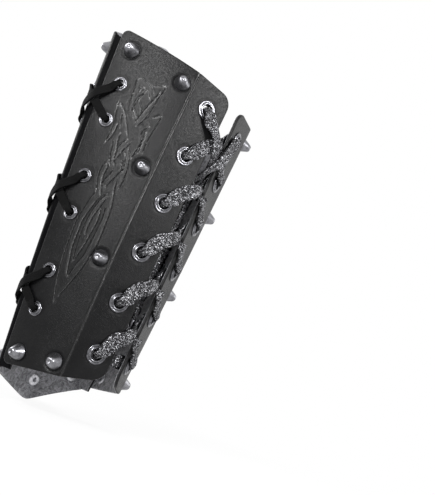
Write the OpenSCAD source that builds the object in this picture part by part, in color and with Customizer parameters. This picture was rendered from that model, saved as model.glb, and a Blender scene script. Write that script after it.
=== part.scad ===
// Leather bracer: a pointed front panel and two side panels laced together along two seams,
// closed over the inner forearm by a flat woven lace. Millimetres.
// Z runs along the forearm with the elbow up, the front faces -Y and the closure faces +Y.
// The origin lies on the axis of the forearm at its wrist end.

/* [Leather] */
// Thickness of the leather
leather_t = 2.4; // [1.8:0.1:3.2]
// Space between a side panel and the front panel's border under it
lap_gap = 0.4; // [0.3:0.05:0.8]
// Distance from the forearm's axis to the face of the front panel
front_reach = 42; // [36:1:50]

/* [Front panel] */
// Half width of the arched face at the wrist, up to the shoulder
face_half_wrist = 32; // [28:0.5:35]
// Half width of the arched face at the elbow, up to the shoulder
face_half_elbow = 67; // [58:0.5:71]
// Angle that half of the face turns through at the wrist
face_arch_wrist = 14; // [8:1:20]
// Angle that half of the face turns through at the elbow
face_arch_elbow = 35; // [26:1:40]
// Bend radius of the shoulder beside the face
shoulder_r = 9; // [6:0.5:14]
// Angle that the shoulder turns through
shoulder_turn = 47; // [40:1:52]
// Bend radius of the fold along the seam
fold_r = 4; // [3:0.5:6]
// Angle that the fold turns through
fold_turn = 34; // [26:1:38]
// Width of the border that shows between the fold and the side panel
band_w = 4; // [3:0.5:7]
// Width of the border that is tucked under the side panel
tuck_w = 5; // [4:0.5:5.5]
// Height of the point at the elbow end
tip_top = 255; // [242:1:272]
// Height of the corners at the elbow end
corner_top = 216; // [202:1:226]
// Height of the point at the hand end, below the wrist
tip_bottom = -21; // [-30:1:-13]
// Height of the corners at the hand end
corner_bottom = -5; // [-11:1:1]
// Rounding of the two points
tip_round = 3; // [1:0.5:6]

/* [Side panels] */
// Width from the seam edge to the crease at the wrist
side_w_wrist = 42; // [37:0.5:48]
// Width from the seam edge to the crease at the elbow
side_w_elbow = 57.5; // [50:0.5:64]
// Angle that the side turns through at the wrist
side_bow_wrist = 26; // [20:1:29]
// Angle that the side turns through at the elbow
side_bow_elbow = 18; // [12:1:24]
// Angle of the crease
crease_turn = 28; // [22:1:31]
// Width of the closure strip beyond the crease at the wrist
strip_w_wrist = 25.5; // [25:0.5:27.5]
// Width of the closure strip beyond the crease at the elbow
strip_w_elbow = 29.5; // [27:0.5:32]
// Height of the seam corner at the elbow end
seam_top = 220; // [206:1:228]
// Height of the seam corner at the wrist end
seam_bottom = -2; // [-9:1:3]
// Height of the crease's elbow end
crease_top = 207; // [198:1:212]
// Height of the crease's wrist end
crease_bottom = 2; // [-3:1:5]
// Height of the strip's outer corner at the elbow end
strip_top = 204.5; // [200:0.5:209]
// Height of the strip's outer corner at the wrist end
strip_bottom = 7; // [2:0.5:9]
// Corner radius beside the seam
seam_corner_r = 5; // [3:0.5:8]
// Corner radius of the strip
strip_corner_r = 8; // [5:0.5:10]

/* [Studs] */
// Diameter of a cone stud's foot
stud_d = 10.4; // [9:0.1:11.5]
// Height of a cone stud above the leather
stud_h = 6.4; // [5.4:0.1:8.8]
// Diameter of the flat top of a cone stud
stud_tip_d = 4; // [3:0.1:5]
// Diameter of the post through the leather
post_d = 3.2; // [2.6:0.1:3.6]
// Diameter of a rivet back
back_d = 8.4; // [7.4:0.1:9.4]
// Thickness of a rivet back
back_t = 1.4; // [1.1:0.1:1.8]
// Diameter of the hollow in a rivet back
back_hollow_d = 2.6; // [2:0.1:3]
// Distance of the front studs from the panel's end
front_stud_inset = 12.5; // [10.5:0.5:14]
// Distance of the stud at the hand point from that point
hand_stud_inset = 13.5; // [12.5:0.5:16]
// Spacing of the front studs across the elbow end
elbow_stud_pitch = 31; // [28:0.5:32.5]
// Distance of the outer studs from the centre line at the hand end
hand_stud_side = 29; // [27:0.5:30]
// Distance of the side studs from the crease
crease_stud_inset = 7.5; // [7:0.1:9]
// Heights of the studs beside the crease
crease_stud_z = [9, 75.5, 136.5, 196.5];
// Distance of the corner studs from the seam edge
seam_stud_inset = 10; // [8.5:0.5:12]
// Heights of the studs in the seam corners
seam_stud_z = [7, 206.5];

/* [Seam lacing] */
// Outer diameter of a small eyelet
seam_eyelet_d = 9.3; // [8.6:0.1:10]
// Bore of a small eyelet
seam_bore_d = 5; // [4.6:0.1:5.4]
// Distance of the small eyelets from the side panel's edge
side_eyelet_inset = 11.5; // [9.5:0.5:12.5]
// Distance of the small eyelets from the front panel's fold
front_eyelet_inset = 10.5; // [9:0.5:12]
// Number of crosses along one seam
cross_count = 3; // [2:1:3]
// Height of the lowest cross
cross_first_z = 47; // [44:1:50]
// Spacing of the crosses along the seam
cross_pitch = 62; // [56:1:64]
// Height of one cross between its eyelets
cross_h = 24.5; // [20:0.5:28]
// Width of the seam cord
cord_w = 5.4; // [4.4:0.1:6]
// Thickness of the seam cord
cord_t = 1.3; // [1:0.1:1.5]

/* [Closure lacing] */
// Outer diameter of a large eyelet
closure_eyelet_d = 12.4; // [11.6:0.1:13]
// Bore of a large eyelet
closure_bore_d = 6.8; // [6.4:0.1:7.2]
// Distance of the large eyelets from the crease
closure_eyelet_inset = 15; // [14:0.5:15.5]
// Number of large eyelets in one strip
closure_count = 6; // [5:1:6]
// Height of the lowest large eyelet
closure_first_z = 21; // [19:0.5:24]
// Spacing of the large eyelets
closure_pitch = 33.5; // [31:0.1:34]
// Width of the closure lace
lace_w = 9.4; // [8:0.1:10]
// Thickness of the closure lace
lace_t = 1.6; // [1.3:0.1:1.8]
// Length of an aglet
aglet_len = 16; // [12:1:20]
// Diameter of an aglet
aglet_d = 3.4; // [3:0.1:3.8]
// Height of the ends of the lace's tails, tucked inside above the lowest eyelets
tail_rise = 29; // [24:1:40]

/* [Hidden] */
// Depth that hardware is pressed into the leather on each face
press = 0.35;
// Clearance round a post or barrel in its hole, and round a pressed seat
hole_clear = 0.1;
seat_clear = 0.3;
// Reach of a cut beyond the leather's faces
cut_reach = 6;
// Wall of an eyelet's barrel, height of its lip and thickness of a washer
barrel_wall = 0.4;
lip_h = 1.3;
washer_t = 0.6;
curl_w = 0.9;
curl_t = 0.5;
// Depth of an eyelet's curl below the leather's outer face
eyelet_depth = leather_t - press + washer_t + curl_t;
// Heights between which the widths are given
wrist_z = 0;
elbow_z = 215;
// Smoothness of turned pieces
round_fn = 32;
panel_rows = 11;
shoulder_len = arc_len(shoulder_r, shoulder_turn);
fold_len = arc_len(fold_r, fold_turn);
leather_color = [0.13, 0.13, 0.14];
metal_color = [0.55, 0.55, 0.57];
cord_color = [0.07, 0.07, 0.08];
lace_color = [0.35, 0.35, 0.36];

function arc_len(r, turn) = r * turn * PI / 180;
function mix(a, b, s) = a + (b - a) * s;
function along(wrist, elbow, z) = mix(wrist, elbow, (z - wrist_z) / (elbow_z - wrist_z));
function unit(v) = v / norm(v);
function flip_x(p) = [-p.x, p.y, p.z];

// Walks from [x, y, angle] along an arc of the given length that turns through the angle
function walk(p, len, turn) = abs(turn) < 0.01
    ? [p.x + len * cos(p.z), p.y + len * sin(p.z), p.z]
    : let (r = len * 180 / (PI * turn), a = p.z + turn)
        [p.x + r * (sin(a) - sin(p.z)), p.y + r * (cos(p.z) - cos(a)), a];

// Section of the front panel's outer face: [x, y, angle] at arc length t from the centre line
function face_half(z) = along(face_half_wrist, face_half_elbow, z);
function face_arch(z) = along(face_arch_wrist, face_arch_elbow, z);
function front_at(t, z) = let (
        w = face_half(z),
        in_face = min(t, w),
        in_shoulder = min(max(t - w, 0), shoulder_len),
        in_fold = min(max(t - w - shoulder_len, 0), fold_len),
        in_border = max(t - w - shoulder_len - fold_len, 0),
        a = walk([0, -front_reach, 0], in_face, face_arch(z) * in_face / w),
        b = walk(a, in_shoulder, shoulder_turn * in_shoulder / shoulder_len),
        c = walk(b, in_fold, fold_turn * in_fold / fold_len)
    ) walk(c, in_border, 0);
function fold_start(z) = face_half(z) + shoulder_len;
function band_end(z) = fold_start(z) + fold_len + band_w;
function border_end(z) = band_end(z) + tuck_w;

// Section of a side panel's outer face at arc length u from its seam edge
function side_w(z) = along(side_w_wrist, side_w_elbow, z);
function strip_w(z) = along(strip_w_wrist, strip_w_elbow, z);
function side_at(u, z) = let (
        w = side_w(z),
        s = front_at(band_end(z), z),
        lift = leather_t + lap_gap,
        start = [s.x + lift * sin(s.z), s.y - lift * cos(s.z), s.z],
        in_side = min(u, w),
        a = walk(start, in_side, along(side_bow_wrist, side_bow_elbow, z) * in_side / w)
    ) u <= w ? a : walk([a.x, a.y, a.z + crease_turn], u - w, 0);

// Points and outward normals of the outer faces, raised by h
function lifted(s, z, h) = [s.x + h * sin(s.z), s.y - h * cos(s.z), z];
function front_point(t, z, h = 0) = t < 0
    ? flip_x(lifted(front_at(-t, z), z, h)) : lifted(front_at(t, z), z, h);
function side_point(u, z, h = 0) = lifted(side_at(u, z), z, h);
// Frames of a place on a face: point, direction toward the elbow and outward normal
function place_frame(p, up, s) = let (
        across = [cos(s.z), sin(s.z), 0],
        n = unit(cross(across, up))
    ) [p, unit(cross(n, across)), n];
function front_frame(t, z) = place_frame(
    front_point(t, z), front_point(t, z + 1) - front_point(t, z), front_at(t, z));
function side_frame(u, z) = place_frame(
    side_point(u, z), side_point(u, z + 1) - side_point(u, z), side_at(u, z));

// Ends of the front panel at arc length t
function front_slope(t, limit) = (sqrt(t * t + tip_round * tip_round) - tip_round) / limit;
function front_top(t) = let (limit = fold_start(corner_top))
    max(mix(tip_top, corner_top, front_slope(t, limit)), corner_top - 0.5);
function front_bottom(t) = let (limit = fold_start(corner_bottom))
    min(mix(tip_bottom, corner_bottom, front_slope(t, limit)), corner_bottom + 0.5);

// Ends of a side panel, where v runs 0 to 1 up to the crease and 1 to 2 over the strip
function corner_cut(d, r) = d >= r ? 0 : r - sqrt(max(r * r - (r - d) * (r - d), 0));
function side_end(v, seam_z, crease_z, strip_z) = v <= 1
    ? mix(seam_z, crease_z, v) : mix(crease_z, strip_z, v - 1);
function side_cut(v, z) = corner_cut(v * side_w(z), seam_corner_r)
    + (v > 1 ? corner_cut((2 - v) * strip_w(z), strip_corner_r) : 0);
function side_top(v) = side_end(v, seam_top, crease_top, strip_top) - side_cut(v, elbow_z);
function side_bottom(v) = side_end(v, seam_bottom, crease_bottom, strip_bottom) + side_cut(v, wrist_z);
function side_u(v, z) = v <= 1 ? v * side_w(z) : side_w(z) + (v - 1) * strip_w(z);

// Columns of the panels' meshes
function corner_steps(r, w, n) = [for (i = [0 : n]) r * (1 - cos(90 * i / n)) / w];
side_columns = concat(
    corner_steps(seam_corner_r, side_w_elbow, 3),
    [for (i = [2 : 10]) i / 10],
    [for (i = [1 : 3]) 1 + i * (1 - strip_corner_r / strip_w_wrist) / 3.2],
    [for (i = [5 : -1 : 0]) 2 - corner_steps(strip_corner_r, strip_w_wrist, 5)[i]]
);
half_columns = concat(
    [for (i = [0 : 7]) i / 7],
    [for (i = [1 : 4]) 1 + i / 4],
    [for (i = [1 : 3]) 2 + i / 3],
    [4]
);
front_columns = concat([for (i = [len(half_columns) - 1 : -1 : 1]) -half_columns[i]], half_columns);
function front_t(q, z) = let (a = abs(q), w = face_half(z), t = a <= 1 ? a * w
        : a <= 2 ? w + (a - 1) * shoulder_len
        : a <= 3 ? fold_start(z) + (a - 2) * fold_len
        : fold_start(z) + fold_len + (a - 3) * (band_w + tuck_w)
    ) q < 0 ? -t : t;

// A side panel's inner face is mitred at the crease
function side_inner(v, z) = let (
        s = side_at(side_u(v, z), z),
        at_crease = abs(v - 1) < 0.001,
        a = at_crease ? s.z + crease_turn / 2 : s.z,
        d = at_crease ? leather_t / cos(crease_turn / 2) : leather_t
    ) [s.x - d * sin(a), s.y + d * cos(a), z];

// Closes two grids of points, outer and inner, into one sheet
module sheet(outer, inner) {
    nc = len(outer);
    nr = len(outer[0]);
    total = nc * nr;
    points = concat([for (c = outer) each c], [for (c = inner) each c]);
    function at(i, j) = i * nr + j;
    faces = concat(
        [for (i = [0 : nc - 2], j = [0 : nr - 2]) each [
            [at(i, j), at(i, j + 1), at(i + 1, j + 1)],
            [at(i, j), at(i + 1, j + 1), at(i + 1, j)],
            [total + at(i, j), total + at(i + 1, j + 1), total + at(i, j + 1)],
            [total + at(i, j), total + at(i + 1, j), total + at(i + 1, j + 1)]
        ]],
        [for (i = [0 : nc - 2], j = [0, nr - 1]) let (
                a = at(i, j), b = at(i + 1, j), c = total + b, d = total + a
            ) each j == 0 ? [[a, b, c], [a, c, d]] : [[a, c, b], [a, d, c]]],
        [for (j = [0 : nr - 2], i = [0, nc - 1]) let (
                a = at(i, j), b = at(i, j + 1), c = total + b, d = total + a
            ) each i == 0 ? [[a, c, b], [a, d, c]] : [[a, b, c], [a, c, d]]]
    );
    polyhedron(points, faces);
}

// Moves children onto a place: their Z along the normal, their Y toward the elbow
module on(frame) {
    p = frame[0];
    y = frame[1];
    z = frame[2];
    x = cross(y, z);
    multmatrix([[x.x, y.x, z.x, p.x], [x.y, y.y, z.y, p.y], [x.z, y.z, z.z, p.z], [0, 0, 0, 1]])
        children();
}
module both_sides() {
    children();
    mirror([1, 0, 0]) children();
}

// Places of the hardware on the right half
cross_z = [for (i = [0 : cross_count - 1]) cross_first_z + i * cross_pitch];
seam_eyelet_z = [for (z = cross_z, s = [-1, 1]) z + s * cross_h / 2];
closure_z = [for (i = [0 : closure_count - 1]) closure_first_z + i * closure_pitch];
function front_eyelet_t(z) = fold_start(z) - front_eyelet_inset;
function closure_u(z) = side_w(z) + closure_eyelet_inset;
front_centre_frames = [
    front_frame(0, tip_top - front_stud_inset),
    front_frame(0, tip_bottom + hand_stud_inset)
];
front_side_frames = concat(
    [for (i = [1, 2]) let (t = i * elbow_stud_pitch) front_frame(t, front_top(t) - front_stud_inset)],
    [front_frame(hand_stud_side, front_bottom(hand_stud_side) + front_stud_inset)]
);
side_stud_frames = concat(
    [for (z = crease_stud_z) side_frame(side_w(z) - crease_stud_inset, z)],
    [for (z = seam_stud_z) side_frame(seam_stud_inset, z)]
);
front_eyelet_frames = [for (z = seam_eyelet_z) front_frame(front_eyelet_t(z), z)];
side_eyelet_frames = [for (z = seam_eyelet_z) side_frame(side_eyelet_inset, z)];
closure_frames = [for (z = closure_z) side_frame(closure_u(z), z)];

// Hole through the leather with a pressed seat on each face
module seat_cut(hole_d, outer_d, inner_d) {
    deep = leather_t + cut_reach;
    cylinder(h = deep * 2, d = hole_d + 2 * hole_clear, center = true, $fn = round_fn);
    translate([0, 0, -press]) cylinder(h = deep, d = outer_d + 2 * seat_clear, $fn = round_fn);
    translate([0, 0, press - leather_t - deep])
        cylinder(h = deep, d = inner_d + 2 * seat_clear, $fn = round_fn);
}
module stud_cut() {
    seat_cut(post_d, stud_d, back_d);
}
module eyelet_cut(d, bore) {
    seat_cut(bore + 2 * barrel_wall, d, d);
}

// Cone stud with its post; the leather's face is at z = 0
module stud() {
    foot = stud_d / 2;
    tip = stud_tip_d / 2;
    rotate_extrude($fn = round_fn) polygon([
        [0, press - leather_t - 0.6], [post_d / 2, press - leather_t - 0.6],
        [post_d / 2, -press], [foot, -press], [foot, 0.5], [foot - 0.6, 1.2],
        [tip + 0.25, stud_h - 0.5], [tip, stud_h - 0.1], [tip * 0.72, stud_h],
        [tip * 0.45, stud_h - 0.5], [0, stud_h - 0.6]
    ]);
}
// Rivet back, clenched onto the post on the flesh side
module rivet_back() {
    top = press - leather_t;
    r = back_d / 2;
    hollow = back_hollow_d / 2;
    rotate_extrude($fn = round_fn) polygon([
        [0, top - 0.65], [post_d / 2 + 0.05, top - 0.65], [post_d / 2 + 0.05, top], [r, top],
        [r, top - 0.5], [r - 0.7, top - back_t + 0.1], [r - 1.2, top - back_t],
        [hollow + 0.4, top - back_t], [hollow, top - back_t + 0.25], [hollow * 0.8, top - 0.95],
        [0, top - 0.95]
    ]);
}
// Eyelet with a stepped, rounded lip, a barrel and a curl that holds its washer
module eyelet(d, bore) {
    r = d / 2;
    b = bore / 2;
    wall = b + barrel_wall;
    back = press - leather_t - washer_t - 0.02;
    lip = r - b;
    rotate_extrude($fn = round_fn) polygon([
        [b, back - curl_t * 0.6], [b + 0.3, back - curl_t], [wall + curl_w * 0.6, back - curl_t],
        [wall + curl_w, back - 0.2], [wall + curl_w, back], [wall, back], [wall, -press], [r, -press],
        [r, 0.15], [r - 0.25, 0.45], [r - lip * 0.28, 0.6], [r - lip * 0.42, 0.4],
        [r - lip * 0.55, lip_h * 0.8], [r - lip * 0.72, lip_h], [b + lip * 0.1, lip_h * 0.85],
        [b, lip_h * 0.5]
    ]);
}
module washer(d, bore) {
    hole = bore / 2 + barrel_wall + 0.1;
    top = press - leather_t;
    rotate_extrude($fn = round_fn) polygon([
        [hole, top - washer_t], [hole, top], [d / 2, top], [d / 2, top - washer_t * 0.6],
        [d / 2 - 0.35, top - washer_t]
    ]);
}

module front_panel() {
    columns = [for (q = front_columns) [for (j = [0 : panel_rows])
        let (
            z0 = front_bottom(front_t(q, corner_bottom)),
            z1 = front_top(front_t(q, corner_top)),
            z = mix(z0, z1, j / panel_rows)
        ) [front_t(q, z), z]]];
    color(leather_color) difference() {
        sheet(
            [for (c = columns) [for (p = c) front_point(p.x, p.y)]],
            [for (c = columns) [for (p = c) front_point(p.x, p.y, -leather_t)]]
        );
        for (f = front_centre_frames) on(f) stud_cut();
        both_sides() for (f = front_side_frames) on(f) stud_cut();
        both_sides() for (f = front_eyelet_frames) on(f) eyelet_cut(seam_eyelet_d, seam_bore_d);
    }
}
module side_panel() {
    rows = [for (v = side_columns) [for (j = [0 : panel_rows])
        mix(side_bottom(v), side_top(v), j / panel_rows)]];
    color(leather_color) difference() {
        sheet(
            [for (i = [0 : len(side_columns) - 1]) [for (z = rows[i])
                side_point(side_u(side_columns[i], z), z)]],
            [for (i = [0 : len(side_columns) - 1]) [for (z = rows[i]) side_inner(side_columns[i], z)]]
        );
        for (f = side_stud_frames) on(f) stud_cut();
        for (f = side_eyelet_frames) on(f) eyelet_cut(seam_eyelet_d, seam_bore_d);
        for (f = closure_frames) on(f) eyelet_cut(closure_eyelet_d, closure_bore_d);
    }
}

// A route is a list of stops: [point, normal, width, thickness]
function route_len(stops) = let (n = len(stops) - 1, parts = [for (i = [0 : n - 1])
        norm(stops[i + 1][0] - stops[i][0])]) parts * [for (p = parts) 1];

// Flat cord swept along a route; the width lies across the normal
cord_sides = 8;
module flat_cord(stops) {
    n = len(stops);
    ahead = [for (i = [0 : n - 1])
        unit(stops[min(i + 1, n - 1)][0] - stops[max(i - 1, 0)][0])];
    flat_n = [for (i = [0 : n - 1]) unit(stops[i][1] - (stops[i][1] * ahead[i]) * ahead[i])];
    // Both faces of the cord are alike, so each ring takes the face nearer to the ring before
    face = [for (i = 0, f = 1; i < n; i = i + 1,
        f = i < n && flat_n[i] * flat_n[i - 1] < 0 ? -f : f) f];
    rings = [for (i = [0 : n - 1]) let (up = face[i] * flat_n[i], side = cross(ahead[i], up))
        [for (k = [0 : cord_sides - 1]) let (
                a = 360 * (k + 0.5) / cord_sides,
                x = sign(cos(a)) * pow(abs(cos(a)), 0.6) * stops[i][2] / 2,
                y = sign(sin(a)) * pow(abs(sin(a)), 0.6) * stops[i][3] / 2
            ) stops[i][0] + side * x + up * y]];
    faces = concat(
        [for (i = [0 : n - 2], k = [0 : cord_sides - 1]) let (
                a = i * cord_sides + k,
                b = i * cord_sides + (k + 1) % cord_sides,
                c = b + cord_sides,
                d = a + cord_sides
            ) each [[a, b, c], [a, c, d]]],
        [[for (k = [cord_sides - 1 : -1 : 0]) k]],
        [[for (k = [0 : cord_sides - 1]) (n - 1) * cord_sides + k]]
    );
    polyhedron([for (r = rings) each r], faces);
}

// Stops of a cord that passes through an eyelet. way is 1 on its way out and -1 on its way in;
// d_in and d_out are its directions along the leather before and after.
// size is [flat width, flat thickness, bunched width, bunched thickness, reach beyond the bore]
function bend(frame, d, side, way, reach, height, w, t) =
    [frame[0] + side * d * reach + frame[2] * height, unit(frame[2] - way * d), w, t];
function inner_or_outer(side, inner, outer) = side > 0 ? outer : -inner;
function half_pass(frame, d, side, way, size) = let (
        out = side * way,
        rim = size[4],
        raised = size[3] / 2,
        far_h = inner_or_outer(out, eyelet_depth + 0.15 + size[1] / 2, 0.75 + size[1] / 2),
        rim_h = inner_or_outer(out, eyelet_depth + 0.3 + size[1] * 0.6, lip_h + 0.35 + size[1] * 0.6),
        bend_h = inner_or_outer(out, eyelet_depth + raised * 0.7, lip_h + raised * 0.65),
        mouth_h = inner_or_outer(out, eyelet_depth - 0.5, lip_h - 0.4)
    ) [
        [frame[0] + frame[2] * mouth_h, -way * d, size[2], size[3]],
        bend(frame, d, side, way, rim * 0.38, bend_h, size[2], size[3]),
        [frame[0] + side * d * rim * 1.15 + frame[2] * rim_h, frame[2],
            mix(size[0], size[2], 0.35), size[1] * 1.15],
        [frame[0] + side * d * (rim + 3.4) + frame[2] * far_h, frame[2], size[0], size[1]]
    ];
function pass(frame, d_in, d_out, way, size) = let (
        before = half_pass(frame, d_in, -1, way, size),
        after = half_pass(frame, d_out, 1, way, size),
        between = d_in * d_out < 0 ? d_in - d_out : d_in + d_out
    ) concat(
        [for (i = [3 : -1 : 0]) before[i]],
        [[frame[0] + frame[2] * (lip_h - eyelet_depth) / 2, unit(between), size[2], size[3]]],
        after
    );
function across(frame) = cross(frame[1], frame[2]);
function heading(frame, along_face, up) = unit(across(frame) * along_face + frame[1] * up);
function flip_stops(stops) = [for (s = stops) [flip_x(s[0]), flip_x(s[1]), s[2], s[3]]];
function stop_on(s, z, h, size) = [lifted(s, z, h), [sin(s.z), -cos(s.z), 0], size[0], size[1]];

// One cross of the seam lacing on the right: out beside the seam, over it, in, along the inside,
// out, back over it and in again to the knot where both ends meet
cord_size = [cord_w, cord_t, seam_bore_d * 0.68, seam_bore_d * 0.46, seam_bore_d / 2];
seam_span = side_eyelet_inset + band_w + fold_len + front_eyelet_inset;
function over_seam(z_side, z_front, raise) = let (
        rest = cord_t / 2 + 0.3,
        z_edge = mix(z_side, z_front, side_eyelet_inset / seam_span),
        z_fold = mix(z_front, z_side, (front_eyelet_inset + fold_len / 2) / seam_span),
        z_shoulder = mix(z_front, z_side, (front_eyelet_inset - shoulder_len / 3) / seam_span),
        edge = stop_on(side_at(0.2, z_edge), z_edge, rest + 0.55 + raise, cord_size),
        fold = stop_on(front_at(fold_start(z_fold) + fold_len * 0.4, z_fold), z_fold,
            rest + raise, cord_size),
        shoulder = stop_on(front_at(fold_start(z_shoulder) - shoulder_len / 3, z_shoulder), z_shoulder,
            rest + 0.3 + raise * 0.6, cord_size),
        middle_n = unit(edge[1] + fold[1])
    ) [edge, [(edge[0] + fold[0]) / 2 + middle_n * raise * 0.3, middle_n, cord_w, cord_t], fold,
        shoulder];
// Stopper knot on each end of a seam cord, from its tip to the cord: [along, width, thickness]
knot_d = 4.4;
knot_shape = [[0.9, 1.4, 1.2], [1.7, knot_d, knot_d * 0.9], [4, knot_d, knot_d * 0.9],
    [5, cord_w * 0.55, cord_t * 1.4]];
function knot_stop(k, s, up) = let (z = cross_z[k] + up * s[0])
    stop_on(side_at(side_eyelet_inset, z), z, -leather_t - 0.3 - knot_d / 2, [s[1], s[2]]);
function seam_route(k) = let (
        low = cross_z[k] - cross_h / 2,
        high = cross_z[k] + cross_h / 2,
        side_low = side_frame(side_eyelet_inset, low),
        side_high = side_frame(side_eyelet_inset, high),
        front_low = front_frame(front_eyelet_t(low), low),
        front_high = front_frame(front_eyelet_t(high), high),
        front_mid = front_at(front_eyelet_t(cross_z[k]), cross_z[k]),
        lift = cord_t + 0.6
    ) concat(
        [for (s = knot_shape) knot_stop(k, s, -1)],
        pass(side_low, -side_low[1], heading(side_low, -seam_span, cross_h), 1, cord_size),
        over_seam(low, high, 0),
        pass(front_high, heading(front_high, -seam_span, cross_h), -front_high[1], -1, cord_size),
        [stop_on(front_mid, cross_z[k], -leather_t - 0.35 - cord_t / 2, cord_size)],
        pass(front_low, -front_low[1], heading(front_low, seam_span, cross_h), 1, cord_size),
        [for (i = [3 : -1 : 0]) over_seam(high, low, lift)[i]],
        pass(side_high, heading(side_high, seam_span, cross_h), -side_high[1], -1, cord_size),
        [for (i = [len(knot_shape) - 1 : -1 : 0]) knot_stop(k, knot_shape[i], 1)]
    );
module seam_cord(k) {
    color(cord_color) flat_cord(seam_route(k));
}

// Closure lace. It rises from a bar inside the wrist end, crosses from strip to strip,
// always out through an eyelet and in under the other strip's edge
lace_size = [lace_w, lace_t, closure_bore_d * 0.7, closure_bore_d * 0.47, closure_bore_d / 2];
gap_size = [lace_w * 0.38, lace_t * 1.35];
strip_rest = lace_t / 2 + 0.3;
function strip_edge(z) = side_point(side_w(z) + strip_w(z), z);
function gap_stop(x, z, h, size = gap_size) = [[x, strip_edge(z).y + h, z], [0, 1, 0], size[0], size[1]];
function closure_edge(z) = strip_w(z) - closure_eyelet_inset;
function leaving(i) = heading(closure_frames[i], closure_edge(closure_z[i]), strip_climb * closure_pitch);
function arriving(i) = heading(closure_frames[i], -closure_edge(closure_z[i]),
    under_climb * closure_pitch);
// Shares of the pitch that a stretch climbs over one strip and under the other
strip_climb = 0.42;
under_climb = 0.26;
// Its places in the gap: [share of the half gap, height, share of the lace's width], for the upper
// and the lower of two that cross
upper_gap = [[1, 1.6, 1], [0.25, 1.2, 0.85], [-0.2, 0.2, 0.45], [-0.44, -2.7, 0.38], [-0.72, -4.9, 0.38]];
lower_gap = [[1, 1.8, 0.9], [0.64, 0.4, 0.42], [0.38, -2, 0.38], [0, -3.4, 0.38], [-0.6, -4.4, 0.38]];
// Stretch from the right strip's eyelet i to the left strip's eyelet i + 1
function crossing(i, in_gap) = let (
        z0 = closure_z[i],
        z_out = mix(z0, closure_z[i + 1], strip_climb),
        z_in = mix(closure_z[i + 1], z0, under_climb),
        half_gap = strip_edge(z_out).x,
        near = stop_on(side_at(side_w(z_out) + strip_w(z_out) - 3, z_out - 2), z_out - 2,
            strip_rest + 0.1, [lace_w, lace_t]),
        far = stop_on(side_at(side_w(z_in) + strip_w(z_in) - 3, z_in + 2), z_in + 2,
            -leather_t - strip_rest - 0.9, [lace_w * 0.7, lace_t])
    ) concat([near],
        [for (g = in_gap) gap_stop(g.x * half_gap, mix(z_in, z_out, (g.x + 1) / 2), g.y,
            [lace_w * g.z, lace_t * mix(1.4, 1, g.z)])],
        flip_stops([far]));
function chain_stop(i, start) = (i + start) % 2 == 0;
// A chain that rises from its first eyelet; start 0 begins on the right and 1 on the left
function rising(start) = [for (i = [0 : closure_count - 1])
    let (
        on_right = chain_stop(i, start),
        d_in = i == 0 ? across(closure_frames[0]) * -1 : arriving(i),
        d_out = i == closure_count - 1 ? heading(closure_frames[i], 1, -1.1) : leaving(i),
        through = pass(closure_frames[i], d_in, d_out, 1, lace_size),
        over = i == closure_count - 1 ? [] : crossing(i, on_right ? upper_gap : lower_gap),
        stops = concat(through, over)
    ) each on_right ? stops : flip_stops(stops)];
top_z = closure_z[closure_count - 1];
tail_size = [aglet_d * 0.8, aglet_d * 0.7];
// Tails, from over the strip down through the gap to the inside; [x, below the top eyelet, height]
right_tail = [[9.8, 12.5, 2.8], [6.5, 18, 4.1], [3.5, 25, 3.6], [-0.4, 32, -1], [-3.6, 39, -6],
    [-5, 50, -9.5]];
left_tail = [[9.8, 12.5, 2.8], [6.5, 18.5, 4.2], [2.5, 26, 5.8], [-1.6, 34, 1.8], [-1.8, 40, -4.4],
    [-2.2, 45.5, -8.6], [-4.4, 52, -9.5]];
tail_len = top_z - closure_first_z - tail_rise;
tail_end = [-5, tail_len, -9.5];
// Length over which a tail narrows into its aglet; its straight part begins this far below the top
// eyelet and ends where it narrows
tail_taper = 12;
tail_straight = [62, tail_len - tail_taper];
function tail(stops) = concat(
    [for (s = stops) gap_stop(s.x, top_z - s.y, s.z, s.z > 2 ? [lace_w * 0.75, lace_t] : gap_size)],
    [for (d = tail_straight)
        gap_stop(tail_end.x, top_z - d, tail_end.z, [lace_w * 0.5, lace_t])],
    [gap_stop(tail_end.x, top_z - tail_len, tail_end.z, tail_size)]
);
// Height of the bar inside the wrist end, from the strips' edges
bar_h = -6;
lace_stops = let (
        low = closure_z[0],
        bar = gap_stop(0, low, bar_h, [lace_w * 0.8, lace_t]),
        right = concat(rising(0), flip_stops(tail(left_tail))),
        left = concat(rising(1), tail(right_tail))
    ) concat([for (i = [len(left) - 1 : -1 : 0]) left[i]], [bar], right);
module closure_lace() {
    echo(lace_length = route_len(lace_stops));
    color(lace_color) flat_cord(lace_stops);
}
module aglet() {
    r = aglet_d / 2;
    rotate_extrude($fn = 20) polygon([
        [0, 0], [r, 0], [r, -aglet_len + 1], [r - 0.5, -aglet_len], [0, -aglet_len]
    ]);
}
module lace_aglets() {
    z = top_z - tail_end.y;
    color(metal_color) both_sides()
        translate([-tail_end.x, strip_edge(z).y + tail_end.z, z - 0.3]) aglet();
}

module studs_on(frames) {
    color(metal_color) for (f = frames) on(f) stud();
}
module rivet_backs_on(frames) {
    color(metal_color) for (f = frames) on(f) rivet_back();
}
module seam_eyelets_on(frames) {
    color(metal_color) for (f = frames) on(f) eyelet(seam_eyelet_d, seam_bore_d);
}
module seam_washers_on(frames) {
    color(metal_color) for (f = frames) on(f) washer(seam_eyelet_d, seam_bore_d);
}
module closure_eyelets() {
    color(metal_color) for (f = closure_frames) on(f) eyelet(closure_eyelet_d, closure_bore_d);
}
module closure_washers() {
    color(metal_color) for (f = closure_frames) on(f) washer(closure_eyelet_d, closure_bore_d);
}
module left() {
    mirror([1, 0, 0]) children();
}
module front_studs() {
    studs_on(front_centre_frames);
    both_sides() studs_on(front_side_frames);
}
module front_rivet_backs() {
    rivet_backs_on(front_centre_frames);
    both_sides() rivet_backs_on(front_side_frames);
}

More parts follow.
